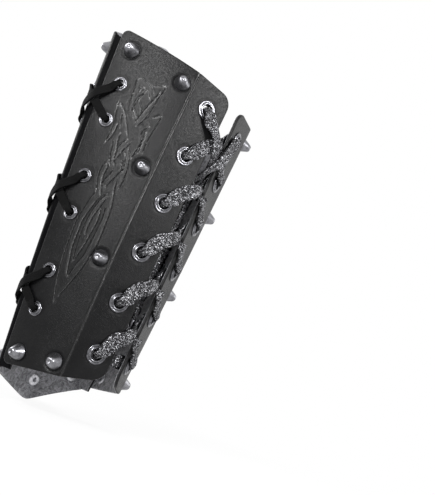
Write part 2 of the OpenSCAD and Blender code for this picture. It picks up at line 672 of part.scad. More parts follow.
front_panel();
side_panel();  // right_side_panel
left() side_panel();  // left_side_panel
front_studs();
studs_on(side_stud_frames);  // right_studs
left() studs_on(side_stud_frames);  // left_studs
front_rivet_backs();
rivet_backs_on(side_stud_frames);  // right_rivet_backs
left() rivet_backs_on(side_stud_frames);  // left_rivet_backs
both_sides() seam_eyelets_on(front_eyelet_frames);  // front_seam_eyelets
seam_eyelets_on(side_eyelet_frames);  // right_seam_eyelets
left() seam_eyelets_on(side_eyelet_frames);  // left_seam_eyelets
both_sides() seam_washers_on(front_eyelet_frames);  // front_seam_washers
seam_washers_on(side_eyelet_frames);  // right_seam_washers
left() seam_washers_on(side_eyelet_frames);  // left_seam_washers
closure_eyelets();  // right_closure_eyelets
left() closure_eyelets();  // left_closure_eyelets
closure_washers();  // right_closure_washers
left() closure_washers();  // left_closure_washers
seam_cord(0);  // right_seam_cord_wrist
seam_cord(1);  // right_seam_cord_middle
seam_cord(cross_count - 1);  // right_seam_cord_elbow
left() seam_cord(0);  // left_seam_cord_wrist
left() seam_cord(1);  // left_seam_cord_middle
left() seam_cord(cross_count - 1);  // left_seam_cord_elbow
closure_lace();
lace_aglets();
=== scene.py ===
import bmesh
import bpy
import math
import numpy as np
from mathutils import Matrix, Vector


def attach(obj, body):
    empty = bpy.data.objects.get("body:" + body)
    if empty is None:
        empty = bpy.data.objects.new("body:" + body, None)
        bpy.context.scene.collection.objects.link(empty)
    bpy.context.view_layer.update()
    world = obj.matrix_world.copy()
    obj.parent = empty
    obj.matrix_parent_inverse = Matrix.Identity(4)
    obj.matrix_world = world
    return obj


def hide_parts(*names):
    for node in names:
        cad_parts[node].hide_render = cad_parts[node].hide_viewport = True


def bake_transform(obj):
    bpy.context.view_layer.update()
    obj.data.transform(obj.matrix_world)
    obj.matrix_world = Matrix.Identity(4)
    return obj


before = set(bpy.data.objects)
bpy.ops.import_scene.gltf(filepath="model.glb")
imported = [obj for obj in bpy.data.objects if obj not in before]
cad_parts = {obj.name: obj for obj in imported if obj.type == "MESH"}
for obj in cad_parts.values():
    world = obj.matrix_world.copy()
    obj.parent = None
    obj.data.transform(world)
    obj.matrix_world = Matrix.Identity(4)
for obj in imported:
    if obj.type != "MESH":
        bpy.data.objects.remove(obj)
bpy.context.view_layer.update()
mm = 0.001  # the shape functions below work in millimetres

# Photograph: camera found from the places of the studs and eyelets in it
photo = {
    "width": 435,
    "focalPixels": 609.6,
    "eye": (286.6, 289.3, 18.4),
    "right": (-0.5121, 0.7959, 0.3230),
    "up": (0.3758, -0.1306, 0.9175),
    "sensor": 36.0,
}


def makeCamera():
    right = Vector(photo["right"]).normalized()
    up = Vector(photo["up"])
    up = (up - right * up.dot(right)).normalized()
    back = right.cross(up)
    data = bpy.data.cameras.new("photoCamera")
    data.sensor_fit = "HORIZONTAL"
    data.sensor_width = photo["sensor"]
    data.lens = photo["focalPixels"] / photo["width"] * photo["sensor"]
    data.clip_start = 0.01
    camera = bpy.data.objects.new("photoCamera", data)
    turn = Matrix((right, up, back)).transposed().to_4x4()
    camera.matrix_world = Matrix.Translation(Vector(photo["eye"]) * mm) @ turn
    bpy.context.scene.collection.objects.link(camera)
    bpy.context.scene.camera = camera


makeCamera()
print("camera set")

# Sizes of the leather, as built: (wrist, elbow) pairs are widths and angles at the two heights
leather = {"thickness": 2.4, "lapGap": 0.4, "frontReach": 42.0, "wristZ": 0.0, "elbowZ": 215.0}
frontShape = {
    "halfWidth": (32.0, 67.0),
    "arch": (14.0, 35.0),
    "shoulderRadius": 9.0,
    "shoulderTurn": 47.0,
    "foldRadius": 4.0,
    "foldTurn": 34.0,
    "band": 4.0,
    "tuck": 5.0,
    "top": (255.0, 216.0),
    "bottom": (-21.0, -5.0),
    "tipRound": 3.0,
}
sideShape = {
    "width": (42.0, 57.5),
    "bow": (26.0, 18.0),
    "creaseTurn": 28.0,
    "creaseBend": 1.6,
    "strip": (25.5, 29.5),
    "seamEnds": (-2.0, 220.0),
    "creaseEnds": (2.0, 207.0),
    "stripEnds": (7.0, 204.5),
    "seamCorner": 5.0,
    "stripCorner": 8.0,
}


def along(pair, z):
    span = leather["elbowZ"] - leather["wristZ"]
    return pair[0] + (pair[1] - pair[0]) * (z - leather["wristZ"]) / span


def walk(x, y, angle, length, turn):
    turn = np.where(np.abs(turn) < 1e-4, 1e-4, turn)
    radius = length / np.radians(turn)
    a, b = np.radians(angle), np.radians(angle + turn)
    return x + radius * (np.sin(b) - np.sin(a)), y + radius * (np.cos(a) - np.cos(b)), angle + turn


def arcLength(radius, turn):
    return radius * math.radians(turn)


shoulderLength = arcLength(frontShape["shoulderRadius"], frontShape["shoulderTurn"])
foldLength = arcLength(frontShape["foldRadius"], frontShape["foldTurn"])


def foldStart(z):
    return along(frontShape["halfWidth"], z) + shoulderLength


def frontSection(t, z):
    # Arched face, shoulder, fold and flat border: x, y and angle at arc length t
    shape = frontShape
    half = along(shape["halfWidth"], z)
    zero = np.zeros_like(t + z)
    inFace = np.minimum(t, half) + zero
    inShoulder = np.clip(t - half, 0, shoulderLength)
    inFold = np.clip(t - foldStart(z), 0, foldLength)
    inBorder = np.maximum(t - foldStart(z) - foldLength, 0)
    p = walk(zero, zero - leather["frontReach"], zero, inFace, along(shape["arch"], z) * inFace / half)
    p = walk(*p, inShoulder, shape["shoulderTurn"] * inShoulder / shoulderLength)
    p = walk(*p, inFold, shape["foldTurn"] * inFold / foldLength)
    return walk(*p, inBorder, zero)


def sideSection(u, z):
    # Starts over the front panel's border, bows round the forearm and bends at the crease
    shape = sideShape
    width = along(shape["width"], z)
    x, y, angle = frontSection(foldStart(z) + foldLength + frontShape["band"], z)
    lift = leather["thickness"] + leather["lapGap"]
    x = x + lift * np.sin(np.radians(angle))
    y = y - lift * np.cos(np.radians(angle))
    bend = shape["creaseBend"]
    bow = along(shape["bow"], z) / width
    inSide = np.minimum(u, width - bend / 2)
    inBend = np.clip(u - width + bend / 2, 0, bend)
    inStrip = np.maximum(u - width - bend / 2, 0)
    p = walk(x, y, angle, inSide, bow * inSide)
    p = walk(*p, inBend, (shape["creaseTurn"] / bend + bow / 2) * inBend)
    return walk(*p, inStrip, np.zeros_like(inStrip))


def lifted(section, z, height):
    x, y, angle = section
    a = np.radians(angle)
    return np.stack([x + height * np.sin(a), y - height * np.cos(a), z + np.zeros_like(x)], -1)


def frontPoint(t, z, height=0.0):
    p = lifted(frontSection(np.abs(t), z), z, height)
    p[..., 0] *= np.where(t < 0, -1.0, 1.0)
    return p


def sidePoint(u, z, height=0.0):
    return lifted(sideSection(u, z), z, height)


def unit(v):
    return v / np.linalg.norm(v)


def placeOn(pointOn, a, z):
    # Frame of a place on a face: point, direction toward the elbow, outward normal
    a, z = np.array(float(a)), np.array(float(z))
    p = pointOn(a, z)
    normal = unit(pointOn(a, z, 1.0) - p)
    rise = pointOn(a, z + 1.0) - p
    across = unit(np.cross([0, 0, 1.0], normal))
    normal = unit(np.cross(across, rise))
    if normal @ (pointOn(a, z, 1.0) - p) < 0:
        normal = -normal
    return p, unit(np.cross(normal, across)), normal


# Where the hardware sits, in the panels' own measures
studPlaces = {
    "insetTip": 12.5,
    "insetHandTip": 13.5,
    "pitch": 31.0,
    "handSide": 29.0,
    "besideCrease": 7.5,
    "creaseZ": (9.0, 75.5, 136.5, 196.5),
    "besideSeam": 10.0,
    "seamZ": (7.0, 206.5),
}
lacing = {
    "sideInset": 11.5,
    "frontInset": 10.5,
    "crossZ": (47.0, 109.0, 171.0),
    "crossHeight": 24.5,
    "closureInset": 15.0,
    "closureZ": tuple(21.0 + 33.5 * i for i in range(6)),
}


def frontEnds(t):
    # Elbow and hand end of the front panel at arc length t
    ends = []
    for tip, corner in (frontShape["top"], frontShape["bottom"]):
        r = frontShape["tipRound"]
        slope = (np.sqrt(t * t + r * r) - r) / foldStart(corner)
        z = tip + (corner - tip) * slope
        ends.append(np.maximum(z, corner - 0.5) if tip > corner else np.minimum(z, corner + 0.5))
    return ends


def cornerCut(d, r):
    return np.where(d >= r, 0.0, r - np.sqrt(np.maximum(r * r - (r - d) ** 2, 0)))


def sideEnds(v):
    # Elbow and wrist end of a side panel; v is 0 to 1 up to the crease and 1 to 2 over the strip
    ends = []
    for k, sign, height in ((1, -1, leather["elbowZ"]), (0, 1, leather["wristZ"])):
        seam, crease, strip = (sideShape[n][k] for n in ("seamEnds", "creaseEnds", "stripEnds"))
        z = np.where(v <= 1, seam + (crease - seam) * v, crease + (strip - crease) * (v - 1))
        cut = cornerCut(v * along(sideShape["width"], height), sideShape["seamCorner"])
        cut = cut + cornerCut((2 - v) * along(sideShape["strip"], height), sideShape["stripCorner"])
        ends.append(z + sign * cut)
    return ends


def sideWidth(z):
    return along(sideShape["width"], z)


def fullWidth(z):
    return sideWidth(z) + along(sideShape["strip"], z)


sideStuds = [(float(sideWidth(z)) - studPlaces["besideCrease"], z) for z in studPlaces["creaseZ"]]
sideStuds += [(studPlaces["besideSeam"], z) for z in studPlaces["seamZ"]]
frontStuds = [(0.0, frontShape["top"][0] - studPlaces["insetTip"])]
frontStuds += [(0.0, frontShape["bottom"][0] + studPlaces["insetHandTip"])]
for sign in (-1, 1):
    for i in (1, 2):
        t = i * studPlaces["pitch"]
        frontStuds.append((sign * t, float(frontEnds(t)[0]) - studPlaces["insetTip"]))
    t = studPlaces["handSide"]
    frontStuds.append((sign * t, float(frontEnds(t)[1]) + studPlaces["insetTip"]))
seamZ = [z + s * lacing["crossHeight"] / 2 for z in lacing["crossZ"] for s in (-1, 1)]
sideSmall = [(lacing["sideInset"], z) for z in seamZ]
frontSmall = [(s * (float(foldStart(z)) - lacing["frontInset"]), z) for z in seamZ for s in (-1, 1)]
sideLarge = [(float(sideWidth(z)) + lacing["closureInset"], z) for z in lacing["closureZ"]]

# Tooled knotwork: each line is a cut through points (across, height), bevelled on one
# side (1 is toward a side panel's crease, -1 toward its seam). The lines taper over some steps at
# their ends, and a cut as deep as fullShine is burnished all through
toolingCut = {
    "depth": 0.46,
    "bevel": 0.5,
    "steep": 0.4,
    "step": 0.5,
    "reach": 5.0,
    "taperSteps": 5,
    "taperStart": 0.25,
    "fullShine": 0.3,
}
sideTooling = [
    (1, [(22.5, 190.5), (21, 188.5), (21, 185), (21.5, 182), (21.5, 177), (22, 172.5), (23, 168.5),
         (24, 164.5)]),
    (-1, [(22.5, 190.5), (26.5, 190), (30, 188), (33, 185.5), (35, 183)]),
    (-1, [(25.5, 181.5), (24.5, 184), (25, 185.5), (27, 185.5), (30, 184), (32, 182), (33.5, 179)]),
    (1, [(29, 182.5), (26.5, 179.5), (25, 176), (25, 172), (25.5, 168), (28, 164)]),
    (-1, [(30.5, 183.5), (28.5, 181.5), (27, 178.5), (26, 175), (26, 171), (28.5, 167.5), (30.5, 164.5)]),
    (-1, [(27, 178), (29, 174.5), (31, 171), (32, 167)]),
    (-1, [(32, 188), (36, 190), (40, 190.5)]),
    (-1, [(40, 190.5), (39.5, 186), (38, 180.5), (37.5, 176), (36.5, 171), (35, 165.5), (32.5, 161),
          (31, 159.5)]),
    (1, [(37.5, 186), (36.5, 182), (34.5, 177.5), (33, 173), (31.5, 169), (30.5, 165.5), (30, 162)]),
    (-1, [(39, 168), (41.5, 170.5), (44.5, 171.5)]),
    (-1, [(44.5, 171.5), (43.5, 163.5), (42, 156), (41.5, 149), (41.5, 144.5)]),
    (1, [(38.5, 159), (38.5, 154.5), (38.5, 149), (38.5, 143.5)]),
    (-1, [(40, 162.5), (37.5, 160), (36.5, 156.5), (38, 152.5), (38, 148), (37, 143.5), (36, 139)]),
    (1, [(15, 172.5), (15.5, 166.5), (16.5, 159.5), (17, 153), (16.5, 147.5), (16.5, 145)]),
    (-1, [(16, 172), (19, 169.5), (22, 166), (24, 162), (26.5, 158), (29, 152)]),
    (-1, [(20, 159), (20, 154.5), (19, 149), (16.5, 144.5)]),
    (1, [(20, 166), (21, 161), (22, 156)]),
    (1, [(21, 147.5), (22, 141.5), (23, 136), (25, 131)]),
    (-1, [(24, 153.5), (24, 148.5), (25.5, 142), (26, 136.5), (28, 132)]),
    (-1, [(32.5, 149.5), (30, 144), (27.5, 137.5), (25.5, 133.5)]),
    (1, [(29.5, 151), (26.5, 146.5), (25, 142)]),
    (-1, [(32, 145.5), (34.5, 140.5), (36, 135), (36.5, 130), (36.5, 124.5), (35.5, 119)]),
    (1, [(30, 142.5), (32.5, 138.5), (33.5, 133.5), (33.5, 129)]),
    (-1, [(31, 137), (33, 131), (31.5, 127), (29.5, 122.5), (27, 117)]),
    (1, [(28, 130.5), (26.5, 125.5), (24.5, 121), (25.5, 116.5)]),
    (1, [(22, 134), (20.5, 130.5), (20, 125.5), (20.5, 120.5), (22.5, 114)]),
    (-1, [(22.5, 134), (24, 130), (23.5, 124.5), (24.5, 118), (26.5, 111.5)]),
    (1, [(22.5, 114), (20.5, 109), (18.5, 100.5), (17, 93), (17, 84), (17, 74), (17.5, 66),
         (18.5, 58), (20, 50), (22, 41.5)]),
    (-1, [(26.5, 111.5), (24.5, 106), (22.5, 99.5), (21, 93), (21, 85), (21, 76), (22.5, 67.5),
          (24, 59)]),
    (1, [(30, 114.5), (27, 109), (25, 103.5), (23.5, 97), (23, 90), (23, 82.5), (23.5, 75.5),
         (24.5, 68)]),
    (-1, [(31, 112.5), (29, 105.5), (27, 99), (26, 92.5), (26, 86)]),
    (-1, [(29.5, 104.5), (30.5, 99.5), (30.5, 95), (29.5, 89), (28.5, 82), (27, 75.5), (25, 69)]),
    (1, [(32, 106.5), (32.5, 99), (32, 93.5), (31.5, 87), (30.5, 79.5), (29.5, 73.5), (27, 67.5),
         (25.5, 62), (24.5, 58.5)]),
    (-1, [(33, 123.5), (33.5, 117.5), (35, 111.5), (36, 104), (36, 96), (36, 88), (35.5, 81),
          (34, 74.5), (32, 66.5), (29.5, 59.5), (26.5, 52), (23.5, 45.5)]),
]
frontTooling = [
    (-1, [(52, 194), (47, 191), (41, 187.5), (36, 184.5), (30, 181.5)]),
    (1, [(52.5, 193), (50.5, 187), (49, 180.5), (46, 177.5)]),
    (-1, [(45.5, 183), (42, 181.5), (37.5, 179), (32, 177.5)]),
    (-1, [(40.5, 187), (36.5, 189), (31.5, 190.5), (25.5, 190), (20.5, 188), (16.5, 184.5),
          (13.5, 181.5)]),
    (1, [(36, 184.5), (31.5, 186), (27, 186), (24, 184.5)]),
    (-1, [(34.5, 175.5), (32, 178), (28, 181), (24.5, 183.5), (21.5, 182)]),
    (1, [(30, 173), (26.5, 177), (22, 179), (16, 179), (9.5, 179), (6.5, 179), (4.5, 175)]),
    (-1, [(40.5, 176.5), (35.5, 173.5), (29, 171), (22.5, 171.5), (17, 172.5)]),
    (-1, [(40.5, 172), (37, 169.5), (30.5, 167.5), (23, 167.5), (14.5, 168), (10, 169.5), (10.5, 174),
          (16, 174)]),
    (1, [(25, 176), (20.5, 176), (14.5, 176)]),
    (1, [(40.5, 180), (44, 177.5), (46, 172.5), (45, 164), (43, 157.5)]),
    (-1, [(35.5, 166.5), (39, 162.5), (43, 157.5)]),
    (1, [(40, 178), (41.5, 172), (41.5, 166.5)]),
    (-1, [(17, 187.5), (11.5, 189), (4.5, 188.5), (-2.5, 186.5)]),
    (1, [(14, 184), (7.5, 185), (1.5, 183), (-2.5, 179.5), (-4.5, 176.5)]),
    (-1, [(20, 229.5), (13.5, 231.5), (5.5, 232), (-2, 230.5), (-10, 226.5), (-16.5, 220)]),
    (-1, [(-4, 231.5), (-12, 233.5), (-20, 233.5), (-26.5, 231.5)]),
    (1, [(14, 225), (10.5, 218)]),
    (1, [(4, 225.5), (-1.5, 224), (-7.5, 220.5), (-10, 216), (-7.5, 211.5)]),
    (1, [(-3.5, 216), (0.5, 216), (2.5, 213.5), (1.5, 211.5), (-2, 211.5), (-4.5, 213), (-4, 215.5)]),
    (-1, [(-2, 220), (3, 218), (5.5, 214.5), (5.5, 210.5)]),
    (-1, [(4, 210.5), (-2, 206), (-9.5, 202)]),
    (1, [(10.5, 209.5), (5.5, 205.5), (5, 201), (12.5, 197)]),
    (-1, [(12, 196), (3, 200.5), (-1, 200), (-4, 198.5), (2, 195.5), (7.5, 193), (5.5, 190)]),
    (-1, [(1.5, 195), (-4.5, 192.5)]),
    (1, [(-18.5, 200.5), (-22, 197)]),
    (-1, [(-2.5, 186), (-10.5, 188.5), (-17, 190.5)]),
    (1, [(1.5, 169), (2, 163), (5, 158.5)]),
    (-1, [(1, 170), (-2.5, 163.5), (-6.5, 157)]),
    (1, [(4, 160.5), (0.5, 154)]),
    (-1, [(-7.5, 183.5), (-11.5, 181), (-13.5, 177)]),
    (1, [(-6, 177), (-8.5, 173.5)]),
    (1, [(-20, 189.5), (-26.5, 188), (-33, 185)]),
    (1, [(-38.5, 191), (-41, 184), (-38, 178), (-40, 169.5)]),
    (-1, [(-0.5, 154.5), (1.5, 146.5), (2, 138.5), (-4, 130.5)]),
    (1, [(-12, 162.5), (-9.5, 155), (-10, 147.5), (-8.5, 142), (-4.5, 133)]),
    (1, [(14, 109), (13.5, 99), (10, 85), (10, 73.5), (8.5, 61), (4, 47), (-2.5, 27)]),
    (-1, [(1, 125.5), (2, 115), (2, 103.5), (0.5, 92), (-0.5, 81), (-4.5, 64.5)]),
    (1, [(-7.5, 122.5), (-8, 113), (-6, 103.5), (-4.5, 92)]),
    (-1, [(-12.5, 133.5), (-15.5, 125), (-17.5, 113.5), (-17.5, 103), (-14.5, 92.5), (-11, 80),
          (-7.5, 67), (-4.5, 41.5)]),
    (1, [(-17, 137.5), (-21.5, 125.5), (-24.5, 117), (-23, 104.5), (-20, 90), (-16, 77)]),
]


def splineThrough(points, step):
    # Rounded curve through given points, sampled about every step
    p = np.array(points, float)
    p = np.vstack([2 * p[0] - p[1], p, 2 * p[-1] - p[-2]])
    out = []
    for i in range(1, len(p) - 2):
        a, b, c, d = p[i - 1], p[i], p[i + 1], p[i + 2]
        count = max(2, int(np.linalg.norm((c - b)[:2]) / step))
        for s in np.arange(count) / count:
            out.append(0.5 * (2 * b + (c - a) * s + (2 * a - 5 * b + 4 * c - d) * s**2
                              + (3 * b - a - 3 * c + d) * s**3))
    out.append(p[-2])
    return np.array(out)


def toolingDepth(lines, a, z):
    # Depth of the tooled lines at each point of a panel: a steep wall up to the cut, then its bevel
    depth = np.zeros_like(a)
    for side, points in lines:
        p = splineThrough(points, toolingCut["step"])
        low, high = p.min(0) - toolingCut["reach"], p.max(0) + toolingCut["reach"]
        index = np.flatnonzero((a > low[0]) & (a < high[0]) & (z > low[1]) & (z < high[1]))
        q = np.stack([a.flat[index], z.flat[index]], -1)
        gap = ((q[:, None, :] - p[None]) ** 2).sum(-1)
        k = gap.argmin(1)
        tangent = np.gradient(p, axis=0)[k]
        away = q - p[k]
        # lines run from the elbow to the wrist, so a positive cross product lies toward the crease
        turned = tangent[:, 0] * away[:, 1] - tangent[:, 1] * away[:, 0]
        d = np.sqrt(gap[np.arange(len(k)), k])
        bevelled = turned * side > 0
        wall = np.clip(1 - d / toolingCut["steep"], 0, 1)
        cut = np.where(bevelled, np.exp(-d / toolingCut["bevel"]), wall)
        fromEnd = np.minimum(k, len(p) - 1 - k)
        taper = np.minimum(fromEnd / toolingCut["taperSteps"] + toolingCut["taperStart"], 1)
        past = np.exp(-((d / toolingCut["steep"] / 2) ** 2))
        cut = cut * np.where(fromEnd == 0, past, 1) * taper
        depth.flat[index] = np.maximum(depth.flat[index], cut * toolingCut["depth"])
    return depth


# Panels: fine grids over the flat pattern, with rounded edges, dents round the hardware and tooling.
# The usual side is its width, strip and height, the usual front its half width and height: cells are
# counted over them, and over the tooled part of a side they are finer
panelFinish = {
    "edgeRound": 0.85,
    "fleshRound": 0.45,
    "dent": 0.25,
    "dentSpread": 1.5,
    "studDent": 0.6,
    "studDentSpread": 1.1,
    "edgeSteps": (0.0, 0.1, 0.25, 0.5, 0.85, 1.3),
    "bendSteps": (-1.6, -1.1, -0.7, -0.4, -0.15, 0.1, 0.4, 0.7, 1.1, 1.6),
    "cell": 0.62,
    "tooledShares": (0.28, 0.86),
    "usualSide": (52.0, 26.0, 215.0),
    "usualFront": (44.0, 250.0),
    "fleshBlock": 4,
    "creaseGroove": 0.5,
    "creaseGrooveWidth": 0.6,
    "wave": 0.16,
    "waveAcross": (9.0, 40.0),
    "waveAlong": (31.0, 23.0),
    "waveSway": 1.3,
    "waveFromEdge": 12.0,
    "creaseRubbed": (60.0, 150.0),
    "plainRim": 0.55,
}
# Radii of the holes cut in the leather and of the hardware that dents it
holeRadius = {"small": 3.15, "large": 4.1}
seatRadius = {"small": 4.7, "large": 6.2, "stud": 5.2}


def outlineDistance(flat, outline, farOff=99.0, batch=40):
    # Distance of each grid point to the outline of the panel's flat pattern
    a, b = outline, np.roll(outline, -1, 0)
    ab = b - a
    out = np.full(len(flat), farOff)
    for k in range(0, len(a), batch):
        s = slice(k, k + batch)
        d = flat[:, None, :] - a[None, s]
        f = np.clip((d * ab[None, s]).sum(-1) / np.maximum((ab[s] ** 2).sum(-1), 1e-9), 0, 1)
        out = np.minimum(out, np.sqrt(((d - f[..., None] * ab[None, s]) ** 2).sum(-1)).min(1))
    return out


def roundOff(distance, radius):
    d = np.clip(distance, 0, radius)
    return radius - np.sqrt(np.maximum(radius**2 - (radius - d) ** 2, 0))


def stripRange(start, stop, cell):
    count = max(2, int(round((stop - start) / cell)))
    return list(np.linspace(start, stop, count + 1))[1:-1]


# Sides of a block of cells: neighbour, start corner and way along, each as (i, j)
blockSides = ((0, -1, 0, 0, 1, 0), (1, 0, 1, 0, 0, 1), (0, 1, 1, 1, -1, 0), (-1, 0, 0, 1, 0, -1))


def sparseFaces(kept, size, at):
    # Faces of a plain sheet: whole blocks of cells in one face, with the corners that finer
    # neighbours need, and single cells along edges and round holes
    ni, nj = kept.shape[0] // size, kept.shape[1] // size
    block = kept[:ni * size, :nj * size].reshape(ni, size, nj, size).all((1, 3))
    block[[0, -1]] = False
    block[:, [0, -1]] = False
    joined = np.pad(block, 1)
    faces = []
    for bi, bj in np.argwhere(block):
        i, j = bi * size, bj * size
        corners = []
        for di, dj, si, sj, ti, tj in blockSides:
            steps = (0,) if joined[bi + 1 + di, bj + 1 + dj] else range(size)
            corners += [at(i + si * size + ti * k, j + sj * size + tj * k) for k in steps]
        faces.append([int(c) for c in corners])
    single = kept.copy()
    single[:ni * size, :nj * size] &= ~np.repeat(np.repeat(block, size, 0), size, 1)
    i, j = np.nonzero(single)
    return faces + np.stack([at(i, j), at(i + 1, j), at(i + 1, j + 1), at(i, j + 1)], -1).tolist()


def buildPanel(name, a, z, pointOn, depth, worked, holes, studs, mirror):
    # a and z are the grids of the flat pattern; the result is one closed sheet with three finishes
    ni, nj = a.shape
    flat = np.stack([a, z], -1)
    edge = np.concatenate([flat[:, 0], flat[-1, 1:], flat[-2::-1, -1], flat[0, -2:0:-1]])
    distance = outlineDistance(flat.reshape(-1, 2), edge).reshape(ni, nj)
    finish = panelFinish
    drop = roundOff(distance, finish["edgeRound"]) + depth
    (short, long), (sway, roll) = finish["waveAcross"], finish["waveAlong"]
    wave = np.sin(a / short + finish["waveSway"] * np.sin(z / sway)) * np.sin(z / roll + a / long)
    drop = drop - finish["wave"] * wave * np.clip(distance / finish["waveFromEdge"], 0, 1)
    for seats, dent, spread in ((holes, finish["dent"], finish["dentSpread"]),
                                (studs, finish["studDent"], finish["studDentSpread"])):
        for seat in seats:
            gap = np.hypot(a - seat[0], z - seat[1]) - seat[2]
            drop = drop + dent * np.exp(-((np.maximum(gap, 0) / spread) ** 2))
    outer = pointOn(a, z, -drop)
    inner = pointOn(a, z, -leather["thickness"] + roundOff(distance, finish["fleshRound"]))
    points = np.concatenate([outer.reshape(-1, 3), inner.reshape(-1, 3)]) * mm
    if mirror:
        points[:, 0] *= -1
    ca = (a[1:, 1:] + a[:-1, :-1]) / 2
    cz = (z[1:, 1:] + z[:-1, :-1]) / 2
    kept = np.ones((ni - 1, nj - 1), bool)
    for u, h, seat, cut in holes:
        kept &= np.hypot(ca - u, cz - h) > cut
    i, j = np.nonzero(kept)

    def at(i, j):
        return i * nj + j

    count = ni * nj
    faces = np.stack([at(i, j), at(i + 1, j), at(i + 1, j + 1), at(i, j + 1)], -1).tolist()
    kinds = [0] * len(faces)
    flesh = sparseFaces(kept, finish["fleshBlock"], at)
    faces += [[c + count for c in face[::-1]] for face in flesh]
    kinds += [1] * len(flesh)
    padded = np.pad(kept, 1)
    for di, dj, p, q in ((-1, 0, (0, 1), (0, 0)), (1, 0, (1, 0), (1, 1)),
                         (0, -1, (0, 0), (1, 0)), (0, 1, (1, 1), (0, 1))):
        bareSide = kept & ~padded[1 + di:ni + di, 1 + dj:nj + dj]
        i, j = np.nonzero(bareSide)
        first, second = at(i + p[0], j + p[1]), at(i + q[0], j + q[1])
        faces += np.stack([second, first, first + count, second + count], -1).tolist()
        kinds += [2] * len(i)
    if mirror:
        faces = [face[::-1] for face in faces]
    used = np.unique(np.concatenate(faces))
    renumber = np.full(len(points), -1)
    renumber[used] = np.arange(len(used))
    numbers = renumber.tolist()
    mesh = bpy.data.meshes.new(name)
    mesh.from_pydata(points[used].tolist(), [], [[numbers[c] for c in face] for face in faces])
    mesh.polygons.foreach_set("material_index", kinds)
    mesh.polygons.foreach_set("use_smooth", np.ones(len(faces), bool))
    flatMap = mesh.uv_layers.new(name="flatPattern")
    corners = np.zeros(len(mesh.loops), int)
    mesh.loops.foreach_get("vertex_index", corners)
    both = np.concatenate([flat.reshape(-1, 2)] * 2)[used] * mm
    flatMap.data.foreach_set("uv", both[corners].ravel())
    # how far the surface was pressed and burnished, and how far the film is missing, for the shine
    shine = mesh.uv_layers.new(name="worked")
    shares = np.stack([np.concatenate([share.ravel(), 0 * share.ravel()])[used] for share in worked], -1)
    shine.data.foreach_set("uv", shares[corners].ravel())
    mesh.update()
    mesh.validate()
    panel = bpy.data.objects.new(name, mesh)
    bpy.context.scene.collection.objects.link(panel)
    return panel


def sideGrid():
    # Columns are (fixed, share of the side's width, share of the strip's width)
    steps, bends = panelFinish["edgeSteps"], panelFinish["bendSteps"]
    last, bend = steps[-1], bends[-1]
    cell = panelFinish["cell"]
    width, strip, height = panelFinish["usualSide"]
    start, stop = panelFinish["tooledShares"]
    shares = stripRange(0, start, cell / width) + [start]
    shares += stripRange(start, stop, cell * 0.5 / width) + [stop]
    shares += stripRange(stop, 1, cell / width)
    columns = [(d, 0, 0) for d in steps]
    columns += [(last + f * -(last + bend), f, 0) for f in shares]
    columns += [(d, 1, 0) for d in bends]
    columns += [(bend + f * -(last + bend), 1, f) for f in stripRange(0, 1, cell * 1.5 / strip)]
    columns += [(-d, 1, 1) for d in steps[::-1]]
    rows = [(0, d) for d in steps]
    rows += [(f, last + f * -2 * last) for f in stripRange(0, 1, cell / height)]
    rows += [(1, -d) for d in steps[::-1]]
    z = np.zeros((len(columns), len(rows)))
    for k, height in ((1, leather["wristZ"]), (0, leather["elbowZ"])):
        w, s = along(sideShape["width"], height), along(sideShape["strip"], height)
        a = np.array([c[0] + c[1] * w + c[2] * s for c in columns])
        v = np.where(a <= w, a / w, 1 + (a - w) / s)
        end = sideEnds(v)[k]
        for j, (f, d) in enumerate(rows):
            z[:, j] += end * (f if k == 0 else 1 - f) + (d if k == 0 else 0)
    w, s = along(sideShape["width"], z), along(sideShape["strip"], z)
    c = np.array(columns)[:, :, None]
    return c[:, 0] + c[:, 1] * w + c[:, 2] * s, z


def frontGrid():
    # Columns are (fixed, share of the face's half width), mirrored about the centre line
    steps, cell = panelFinish["edgeSteps"], panelFinish["cell"]
    last = steps[-1]
    halfWidth, height = panelFinish["usualFront"]
    border = foldLength + frontShape["band"] + frontShape["tuck"]
    half = [(0.0, 0.0)] + [(0, f) for f in stripRange(0, 1, cell * 0.8 / halfWidth)] + [(0, 1)]
    half += [(d, 1) for d in stripRange(0, shoulderLength, 1.0)] + [(shoulderLength, 1)]
    half += [(shoulderLength + d, 1) for d in stripRange(0, border - last, 0.8)]
    half += [(shoulderLength + border - d, 1) for d in steps[::-1]]
    columns = [(-d, -f) for d, f in half[:0:-1]] + half
    rows = [(0, d) for d in steps]
    rows += [(f, last + f * -2 * last) for f in stripRange(0, 1, cell * 1.15 / height)]
    rows += [(1, -d) for d in steps[::-1]]
    z = np.zeros((len(columns), len(rows)))
    for k, corner in ((0, frontShape["top"][1]), (1, frontShape["bottom"][1])):
        w = along(frontShape["halfWidth"], corner)
        t = np.array([c[0] + c[1] * w for c in columns])
        end = frontEnds(np.abs(t))[k]
        for j, (f, d) in enumerate(rows):
            z[:, j] += end * (f if k == 0 else 1 - f) + (d if k == 0 else 0)
    c = np.array(columns)[:, :, None]
    return c[:, 0] + c[:, 1] * along(frontShape["halfWidth"], z), z


